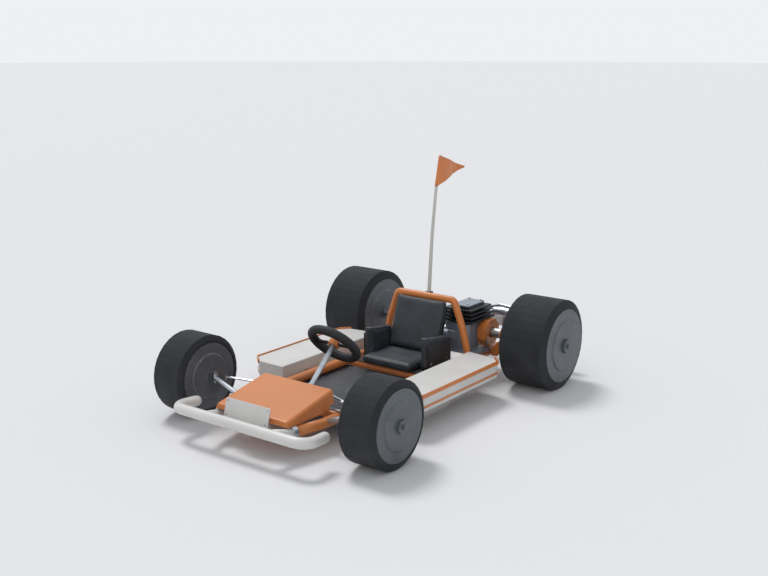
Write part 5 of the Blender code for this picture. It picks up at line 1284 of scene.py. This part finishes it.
# Steering
COLUMN_TILT = math.radians(47)
COLUMN_UP = Vector((0, -math.cos(COLUMN_TILT), math.sin(COLUMN_TILT)))
STEER_CENTRE = Vector((0.0, -0.2974, 0.3367))
STEER_EDGE = 0.7
TIE_ROD_EDGE = 0.5
RING_RADIUS = 0.1133
RING_STEPS = 72
GRIP_RADIUS = 0.0209
GRIP_STEPS = 20
SEAM_RADIUS = 0.0011
SEAM_SIDES = 6
SEAM_POINTS = 96
SPOKE_HALF = ((0.0275, 0.014), (0.060, 0.011))
SPOKE_END_HALF = 0.015
SPOKE_GRIP_SHARE = 0.6
SPOKE_THICKNESS = 0.007
SPOKE_ROUNDING = 0.0015
HUB_FACE = 0.012
HUB_SCREW = 0.0032
HUB_SCREWS_RADIUS = 0.019
CAP_RADIUS = 0.011
CAP_HEIGHT = 0.004
CAP_ROUNDING = 0.0012
CAP_STEPS = 32


def circle_of(radius, steps):
    """Evenly spaced points of a circle about the origin."""
    angles = [math.tau * step / steps for step in range(steps)]
    return [(radius * math.cos(angle), radius * math.sin(angle)) for angle in angles]


def steering_wheel():
    """The padded ring with its sewn seam, the two spokes, and the hub's screws and cap."""
    place = laid(ACROSS, COLUMN_UP, STEER_CENTRE)
    section = [(RING_RADIUS + across, up) for across, up in circle_of(GRIP_RADIUS, GRIP_STEPS)]
    ring = spun(section, RING_STEPS, place)
    add_piece("steering_ring", ring, "grip_rubber", "steering", ("steering_rim",), False)
    seam = [place @ Vector((*point, 0)) for point in circle_of(RING_RADIUS - GRIP_RADIUS, SEAM_POINTS)]
    stitch = swept(seam, SEAM_RADIUS, SEAM_SIDES, True)
    add_piece("steering_ring_seam", stitch, "seat_vinyl", "steering", even=False)
    edge = [*SPOKE_HALF, (RING_RADIUS - GRIP_RADIUS * SPOKE_GRIP_SHARE, SPOKE_END_HALF)]
    spokes = []
    for _word, side in SIDES:
        outline = [(side * reach, -half) for reach, half in edge]
        outline += [(side * reach, half) for reach, half in reversed(edge)]
        spokes.append(slab(outline[::side], SPOKE_THICKNESS, place, SPOKE_ROUNDING))
    add_piece("steering_spokes", gathered(*spokes), "grip_rubber", "steering")
    cap = place @ Matrix.Translation((0, 0, HUB_FACE))
    heads = bolt_circle(cap, 4, HUB_SCREWS_RADIUS, start=math.pi / 4)
    screws("steering_hub_screws", heads, HUB_SCREW, "steering")
    boss = spun(band(0, CAP_RADIUS, 0, CAP_HEIGHT), CAP_STEPS, cap)
    add_piece("steering_hub_cap", eased(boss, CAP_ROUNDING), "chrome", "steering")


class KART_OT_steering(bpy.types.Operator):
    """Builds the steering wheel, column, bracket, tie rods and knuckles"""

    bl_idname = "kart.steering"
    bl_label = "Steering"

    def execute(self, context):
        edge = context.scene.kart_sizes.edge
        steering_wheel()
        for node in ("steering_hub", "steering_column", "column_bracket"):
            dress(node, edge * STEER_EDGE)
        for word, _side in SIDES:
            dress(f"steering_knuckle_{word}", edge * STEER_EDGE)
            dress(f"tie_rod_{word}", edge * TIE_ROD_EDGE)
        return {"FINISHED"}


# Engine
CRANKCASE_EDGE = 2.2
HEAD_PLATE = ((0.098, 0.528), (0.196, 0.682))
HEAD_TOP_Z = 0.3753
HEAD_SCREW = 0.0048
HEAD_SCREW_INSET = 0.014
PORT_FACE = (0.153, 0.7280, 0.31875)
PORT_GAP = 0.0003
PIPE_RADIUS = 0.00825
PIPE_SIDES = 20
PIPE_BEND = 0.022
PIPE_Y = 0.757
PIPE_BENDS = ((0.200, PIPE_Y, 0.330), (0.245, PIPE_Y, 0.343), (0.318, PIPE_Y, 0.338), (0.345, 0.775, 0.325))
FLANGE_HALF = (0.022, 0.012)
FLANGE_FACE = 0.0053
FLANGE_ROUNDING = 0.0015
FLANGE_SCREW = 0.0035
FLANGE_SCREW_REACH = 0.0165
MUFFLER_X = (0.180, 0.380)
MUFFLER_Y = 0.806
MUFFLER_Z = 0.292
MUFFLER_RADIUS = 0.026
MUFFLER_STEPS = 48
MUFFLER_ROUNDING = 0.0006
MUFFLER_DISH = 0.004
MUFFLER_DISH_SLOPE = 0.006
MUFFLER_RIM = 0.004
SEAM_WIDTH = 0.003
SEAM_SLOPE = 0.001
SEAM_PROUD = 0.0015
STRAP_BAND = (0.0245, 0.0268, -0.009, 0.009)
STRAP_ROUNDING = 0.0005
STAY_HALF = (0.010, 0.003)
STAY_FOOT_Z = 0.1343
STAY_HEAD_DROP = 0.01
STAY_ROUNDING = 0.001
PLATE_BOLT = 0.0048
PLATE_BOLTS = ((0.224, 0.484), (0.224, 0.520), (0.250, 0.484), (0.250, 0.520), (0.075, 0.480), (0.150, 0.480))


def muffler_profile():
    """The muffler's outline from end to end, dished at both ends, with a raised seam near each."""
    low, high = MUFFLER_X
    inner = MUFFLER_RADIUS - MUFFLER_RIM
    body = MUFFLER_RADIUS - SEAM_PROUD
    dish = inner - MUFFLER_DISH_SLOPE
    return [
        (0, low + MUFFLER_DISH), (dish, low + MUFFLER_DISH), (inner, low), (MUFFLER_RADIUS, low),
        (MUFFLER_RADIUS, low + SEAM_WIDTH), (body, low + SEAM_WIDTH + SEAM_SLOPE),
        (body, high - SEAM_WIDTH - SEAM_SLOPE), (MUFFLER_RADIUS, high - SEAM_WIDTH), (MUFFLER_RADIUS, high),
        (inner, high), (dish, high - MUFFLER_DISH), (0, high - MUFFLER_DISH),
    ]


def exhaust():
    """The pipe with its flange, and the muffler with its seams, strap and stay."""
    x, y, z = PORT_FACE
    face = y + PORT_GAP
    route = ((x, face, z), (x, PIPE_Y, z), *PIPE_BENDS, (PIPE_BENDS[-1][0], MUFFLER_Y, MUFFLER_Z))
    pipe = swept(rounded(route, PIPE_BEND), PIPE_RADIUS, PIPE_SIDES)
    half_x, half_z = FLANGE_HALF
    flange = block((x - half_x, face, z - half_z), (x + half_x, y + FLANGE_FACE, z + half_z), FLANGE_ROUNDING)
    add_piece("exhaust_tube", gathered(pipe, flange), "chrome", "chassis", ("exhaust_pipe",))
    along = across_at(0, (MUFFLER_Y, MUFFLER_Z))
    can = eased(spun(muffler_profile(), MUFFLER_STEPS, along), MUFFLER_ROUNDING)
    clasp = across_at(RAIL_X, (MUFFLER_Y, MUFFLER_Z))
    strap = eased(spun(band(*STRAP_BAND), MUFFLER_STEPS, clasp), STRAP_ROUNDING)
    half_x, half_y = STAY_HALF
    foot = (RAIL_X - half_x, MUFFLER_Y - half_y, STAY_FOOT_Z)
    head = (RAIL_X + half_x, MUFFLER_Y + half_y, MUFFLER_Z - STAY_HEAD_DROP)
    stay = block(foot, head, STAY_ROUNDING)
    add_piece("muffler_can", gathered(can, strap, stay), "chrome", "chassis", ("muffler",))


def engine_screws():
    """The head's, the flange's and the engine plate's screws."""
    (low_x, low_y), (high_x, high_y) = HEAD_PLATE
    across = (low_x + HEAD_SCREW_INSET, high_x - HEAD_SCREW_INSET)
    along = (low_y + HEAD_SCREW_INSET, high_y - HEAD_SCREW_INSET)
    heads = [facing((x, y, HEAD_TOP_Z), UP) for x in across for y in along]
    screws("head_screws", heads, HEAD_SCREW, "chassis", "engine_casting")
    x, y, z = PORT_FACE
    flange = [facing((x + side * FLANGE_SCREW_REACH, y + FLANGE_FACE, z), (0, 1, 0)) for _word, side in SIDES]
    screws("flange_screws", flange, FLANGE_SCREW, "chassis")
    _low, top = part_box("engine_plate")
    screws("plate_bolts", [facing((x, y, top.z), UP) for x, y in PLATE_BOLTS], PLATE_BOLT, "chassis")


class KART_OT_engine(bpy.types.Operator):
    """Builds the engine on its plate, the carburettor and the exhaust"""

    bl_idname = "kart.engine"
    bl_label = "Engine"

    def execute(self, context):
        edge = context.scene.kart_sizes.edge
        dress("crankcase", edge * CRANKCASE_EDGE)
        for node in ("engine_plate", "cooling_fins", "cylinder_head", "carburettor"):
            dress(node, edge)
        exhaust()
        engine_screws()
        return {"FINISHED"}


# Drive and brake
AXLE_SPOT = (0.650, 0.2235)
CRANK_SPOT = (0.560, 0.212)
CHAIN_X = 0.026
CHAIN_PITCH = 0.009525
CHAIN_ARC_STEPS = 120
PITCH_RADII = (0.0667, 0.0247)
LINK_RADIUS = 0.0036
LINK_WAIST = 0.0022
LINK_END_STEPS = 4
LINK_THICKNESS = 0.0009
INNER_LINK_X = 0.0032
OUTER_LINK_X = 0.0043
ROLLER_RADIUS = 0.0026
ROLLER_LENGTH = 0.0096
ROLLER_SIDES = 10
DISC_THICKNESS = 0.0042
AXLE_TEETH = (44, 0.0637, 0.0612)
AXLE_HUB = (
    (0.0253, -0.0030), (0.040, -0.0030), (0.040, 0.0040), (0.036, 0.0060), (0.036, 0.0220), (0.0253, 0.0220),
)
AXLE_HUB_ROUNDING = 0.0010
HUB_BOLTS = 6
HUB_BOLT_HEAD = 0.0040
HUB_BOLTS_RADIUS = 0.047
HUB_BOLTS_FACE = 0.0022
CLUTCH_TEETH = (16, 0.0217, 0.0192)
CLUTCH_BELL = (
    (0.0112, 0.0080), (0.0380, 0.0080), (0.0380, 0.0280), (0.0350, 0.0280), (0.0350, 0.0110),
    (0.0112, 0.0110),
)
CLUTCH_ROUNDING = 0.0008
CLUTCH_NECK = (0.0112, 0.0160, -0.0025, 0.0090)
DRIVE_STEPS = 48
NECK_STEPS = 32
COLLAR_X = 0.3545
COLLAR_BAND = (0.0251, 0.036, 0, 0.014)
COLLAR_ROUNDING = 0.0012
COLLAR_STEPS = 40
HOUSING_FACE_X = 0.2650
HOUSING_SCREW = 0.0042
HOUSING_SCREWS_RADIUS = 0.050
HOUSING_EDGE = 1.4
DRUM_EDGE = 0.6


def chain_path():
    """Evenly spaced joints of the chain round both sprockets."""
    axle = Vector(AXLE_SPOT)
    crank = Vector(CRANK_SPOT)
    apart = axle - crank
    lean = math.atan2(apart.y, apart.x)
    large, small = PITCH_RADII
    spread = math.acos((large - small) / apart.length)
    points = []
    for centre, radius, start, end in (
        (axle, large, lean - math.pi + spread, lean + math.pi - spread),
        (crank, small, lean + math.pi - spread, lean + math.pi + spread),
    ):
        for step in range(CHAIN_ARC_STEPS + 1):
            angle = start + (end - start) * step / CHAIN_ARC_STEPS
            points.append(centre + Vector((math.cos(angle), math.sin(angle))) * radius)
    points.append(points[0])
    lengths = [0.0]
    for first, second in zip(points, points[1:]):
        lengths.append(lengths[-1] + (second - first).length)
    count = 2 * round(lengths[-1] / CHAIN_PITCH / 2)
    joints = []
    index = 0
    for link in range(count):
        goal = lengths[-1] * link / count
        while lengths[index + 1] < goal:
            index += 1
        share = (goal - lengths[index]) / (lengths[index + 1] - lengths[index])
        joints.append(points[index].lerp(points[index + 1], share))
    return joints


def link_outline(half):
    """A side plate's outline: round at both ends, with a waist between them."""
    outline = []
    for end in (1, -1):
        for step in range(LINK_END_STEPS + 1):
            turn = math.pi * (step / LINK_END_STEPS - end / 2)
            outline.append((end * half + LINK_RADIUS * math.cos(turn), LINK_RADIUS * math.sin(turn)))
        outline.append((0, end * LINK_WAIST))
    return outline


def chain():
    """Rollers and side plates, link by link, outer plates on every second link."""
    joints = chain_path()
    parts = []
    for index, (first, second) in enumerate(zip(joints, joints[1:] + joints[:1])):
        along = second - first
        angle = math.atan2(along.y, along.x)
        outline = link_outline(along.length / 2)
        middle = (CHAIN_X, *((first + second) / 2))
        flat = laid((0, math.cos(angle), math.sin(angle)), (0, -math.sin(angle), math.cos(angle)), middle)
        reach = OUTER_LINK_X if index % 2 else INNER_LINK_X
        for shift in (-reach, reach):
            parts.append(slab(outline, LINK_THICKNESS, flat @ Matrix.Translation((0, 0, shift))))
        roller = bmesh.new()
        bmesh.ops.create_cone(
            roller, cap_ends=True, segments=ROLLER_SIDES, radius1=ROLLER_RADIUS, radius2=ROLLER_RADIUS,
            depth=ROLLER_LENGTH,
        )
        bmesh.ops.transform(roller, matrix=across_at(CHAIN_X, first), verts=roller.verts)
        parts.append(roller)
    add_piece("roller_chain", gathered(*parts), "steel", "chassis", ("drive_chain",), False)


def toothed(teeth, tip, root, place):
    """A toothed disc: a circle with pairs of points pulled in, given a thickness."""
    work = bmesh.new()
    ring = bmesh.ops.create_circle(work, cap_ends=True, segments=teeth * 4, radius=1.0)["verts"]
    for index, corner in enumerate(ring):
        corner.co *= tip if index % 4 < 2 else root
    return thickened(work, DISC_THICKNESS, place)


def sprockets():
    """The axle's sprocket with its hub, and the clutch with its small sprocket."""
    place = across_at(CHAIN_X, AXLE_SPOT)
    disc = toothed(*AXLE_TEETH, place)
    hub = eased(spun(AXLE_HUB, DRIVE_STEPS, place), AXLE_HUB_ROUNDING)
    heads = bolt_circle(place, HUB_BOLTS, HUB_BOLTS_RADIUS, HUB_BOLTS_FACE)
    bolts = [screw(head, HUB_BOLT_HEAD) for head in heads]
    add_piece("sprocket_disc", gathered(disc, hub, *bolts), "steel", "axle", ("axle_sprocket",), False)
    place = across_at(CHAIN_X, CRANK_SPOT)
    small = toothed(*CLUTCH_TEETH, place)
    bell = eased(spun(CLUTCH_BELL, DRIVE_STEPS, place), CLUTCH_ROUNDING)
    neck = spun(band(*CLUTCH_NECK), NECK_STEPS, place)
    add_piece("clutch_bell", gathered(small, bell, neck), "steel", "clutch", ("clutch_drum",), False)


class KART_OT_drive(bpy.types.Operator):
    """Builds the axle, sprockets, chain and brake"""

    bl_idname = "kart.drive"
    bl_label = "Drive and brake"

    def execute(self, context):
        edge = context.scene.kart_sizes.edge
        dress("brake_housing", edge * HOUSING_EDGE)
        dress("brake_drum", edge * DRUM_EDGE)
        dress("rear_axle", edge)
        sprockets()
        chain()
        for word, side in SIDES:
            face = facing((side * COLLAR_X, *AXLE_SPOT), (side, 0, 0))
            collar = eased(spun(band(*COLLAR_BAND), COLLAR_STEPS, face), COLLAR_ROUNDING)
            add_piece(f"axle_collar_{word}", collar, "steel", "axle")
        heads = bolt_circle(across_at(HOUSING_FACE_X, AXLE_SPOT), 4, HOUSING_SCREWS_RADIUS)
        screws("housing_screws", heads[:3], HOUSING_SCREW, "chassis")
        return {"FINISHED"}


# Pedals
PEDAL_EDGE = 0.5
PEDAL_X = 0.125
RIB_COUNT = 5
RIB_HALF_WIDTH = 0.025
RIB_Y = (-0.5652, -0.5622)
RIB_FOOT_Z = 0.170
RIB_SPACING = 0.0074
RIB_HEIGHT = 0.0045
RIB_ROUNDING = 0.0010


class KART_OT_pedals(bpy.types.Operator):
    """Builds the pedals with their rubber ribs, and the brake linkage"""

    bl_idname = "kart.pedals"
    bl_label = "Pedals"

    def execute(self, context):
        edge = context.scene.kart_sizes.edge
        for node in ("brake_pedal", "throttle_pedal", "brake_rod", "brake_lever"):
            dress(node, edge * PEDAL_EDGE)
        for node, side in (("brake_pedal", 1), ("throttle_pedal", -1)):
            left, right = (side * PEDAL_X - RIB_HALF_WIDTH, side * PEDAL_X + RIB_HALF_WIDTH)
            ribs = []
            for step in range(RIB_COUNT):
                low = RIB_FOOT_Z + step * RIB_SPACING
                ribs.append(block((left, RIB_Y[0], low), (right, RIB_Y[1], low + RIB_HEIGHT), RIB_ROUNDING))
            add_piece(f"{node}_ribs", gathered(*ribs), "grip_rubber", BODY_OF[node])
        return {"FINISHED"}


# Stage
CAMERA_PLACE = (3.0023, -3.9217, 1.7213)
CAMERA_AIM = (-0.5837, 0.7780, -0.2323)
CAMERA_REACH = 200.0
LAMPS = (
    ("key_lamp", (-1.3, 0.5, 2.4), 18, "key"),
    ("fill_lamp", (1.2, -3.0, 1.6), 70, "fill"),
)
SKY = (0.90, 0.92, 0.95)
SKY_STRENGTH = 0.95
FLOOR_COLOUR = (0.78, 0.78, 0.79)
FLOOR_ROUGHNESS = 0.9
FLOOR_SHEEN = 0.1
FLOOR_RADIUS = 60.0
FLOOR_SIDES = 96
FLOOR_DROP = 0.0002


def aimed(item, place, aim):
    """Stands a camera or a lamp at a place, looking along a direction."""
    item.location = place
    item.rotation_euler = Vector(aim).to_track_quat("-Z", "Y").to_euler()


def stage_world(ambient):
    """Even light, and a pale sky where the camera or a reflection sees past the floor."""
    world = bpy.data.worlds.new("studio")
    world.use_nodes = True
    bpy.context.scene.world = world
    wiring = Wiring(world.node_tree)
    ray = wiring.node("ShaderNodeLightPath")
    seen = ray.out("Is Camera Ray") + ray.out("Is Glossy Ray") + ray.out("Is Transmission Ray")
    shown = seen.between(0.0, 1.0)
    background = world.node_tree.nodes["Background"]
    wiring.feed(background.inputs["Color"], SKY)
    wiring.feed(background.inputs["Strength"], shown * (SKY_STRENGTH - ambient) + ambient)


def stage_floor():
    """A wide round floor just under the tyres."""
    work = bmesh.new()
    bmesh.ops.create_circle(work, cap_ends=True, segments=FLOOR_SIDES, radius=FLOOR_RADIUS)
    bmesh.ops.translate(work, vec=(0, 0, -FLOOR_DROP), verts=work.verts)
    floor = made_object("floor", work)
    look = Finish("floor_paint", FLOOR_COLOUR, FLOOR_ROUGHNESS, specular_ior_level=FLOOR_SHEEN)
    floor.data.materials.append(look.material)


class KART_OT_stage(bpy.types.Operator):
    """Makes the floor, the lamps, the even light and the camera"""

    bl_idname = "kart.stage"
    bl_label = "Stage"

    def execute(self, context):
        settings = context.scene.kart_stage
        camera = linked("camera", bpy.data.cameras.new("camera"))
        aimed(camera, CAMERA_PLACE, CAMERA_AIM)
        camera.data.lens = settings.lens
        camera.data.clip_end = CAMERA_REACH
        context.scene.camera = camera
        for name, spot, spread, power in LAMPS:
            lamp = bpy.data.lights.new(name, "SUN")
            lamp.angle = math.radians(spread)
            lamp.energy = getattr(settings, power)
            aimed(linked(name, lamp), spot, -Vector(spot))
        stage_world(settings.ambient)
        stage_floor()
        context.scene.view_settings.view_transform = "Standard"
        return {"FINISHED"}


class KART_PT_builder(bpy.types.Panel):
    """Lists the kart's builders and settings in the sidebar"""

    bl_idname = "KART_PT_builder"
    bl_label = "Racing kart"
    bl_space_type = "VIEW_3D"
    bl_region_type = "UI"
    bl_category = "Kart"

    def draw(self, context):
        scene = context.scene
        column = self.layout.column()
        for settings in (scene.kart_colours, scene.kart_sizes, scene.kart_stage):
            for name in settings.bl_rna.properties.keys():
                if name not in ("rna_type", "name"):
                    column.prop(settings, name)
        for builder in BUILDERS:
            column.operator(builder.bl_idname)


BUILDERS = (
    KART_OT_stage, KART_OT_wheels, KART_OT_frame, KART_OT_bumpers, KART_OT_body, KART_OT_seat, KART_OT_flag,
    KART_OT_steering, KART_OT_engine, KART_OT_drive, KART_OT_pedals,
)
CLASSES = (KartColours, KartSizes, KartStage, *BUILDERS, KART_PT_builder)


def register():
    for kind in CLASSES:
        bpy.utils.register_class(kind)
    bpy.types.Scene.kart_colours = PointerProperty(type=KartColours)
    bpy.types.Scene.kart_sizes = PointerProperty(type=KartSizes)
    bpy.types.Scene.kart_stage = PointerProperty(type=KartStage)


def unregister():
    del bpy.types.Scene.kart_stage
    del bpy.types.Scene.kart_sizes
    del bpy.types.Scene.kart_colours
    for kind in reversed(CLASSES):
        bpy.utils.unregister_class(kind)


def main():
    register()
    FINISHES.update(make_finishes(bpy.context.scene.kart_colours))
    bpy.ops.kart.stage()
    bpy.ops.kart.wheels()
    bpy.ops.kart.frame()
    bpy.ops.kart.bumpers()
    bpy.ops.kart.body()
    bpy.ops.kart.seat()
    bpy.ops.kart.flag()
    bpy.ops.kart.steering()
    bpy.ops.kart.engine()
    bpy.ops.kart.drive()
    bpy.ops.kart.pedals()
    for node, piece in frame["nodes"].items():
        piece.data.materials.clear()
        piece.data.materials.append(FINISHES[SLOT_OF[node]].material)


if __name__ == "__main__":
    main()
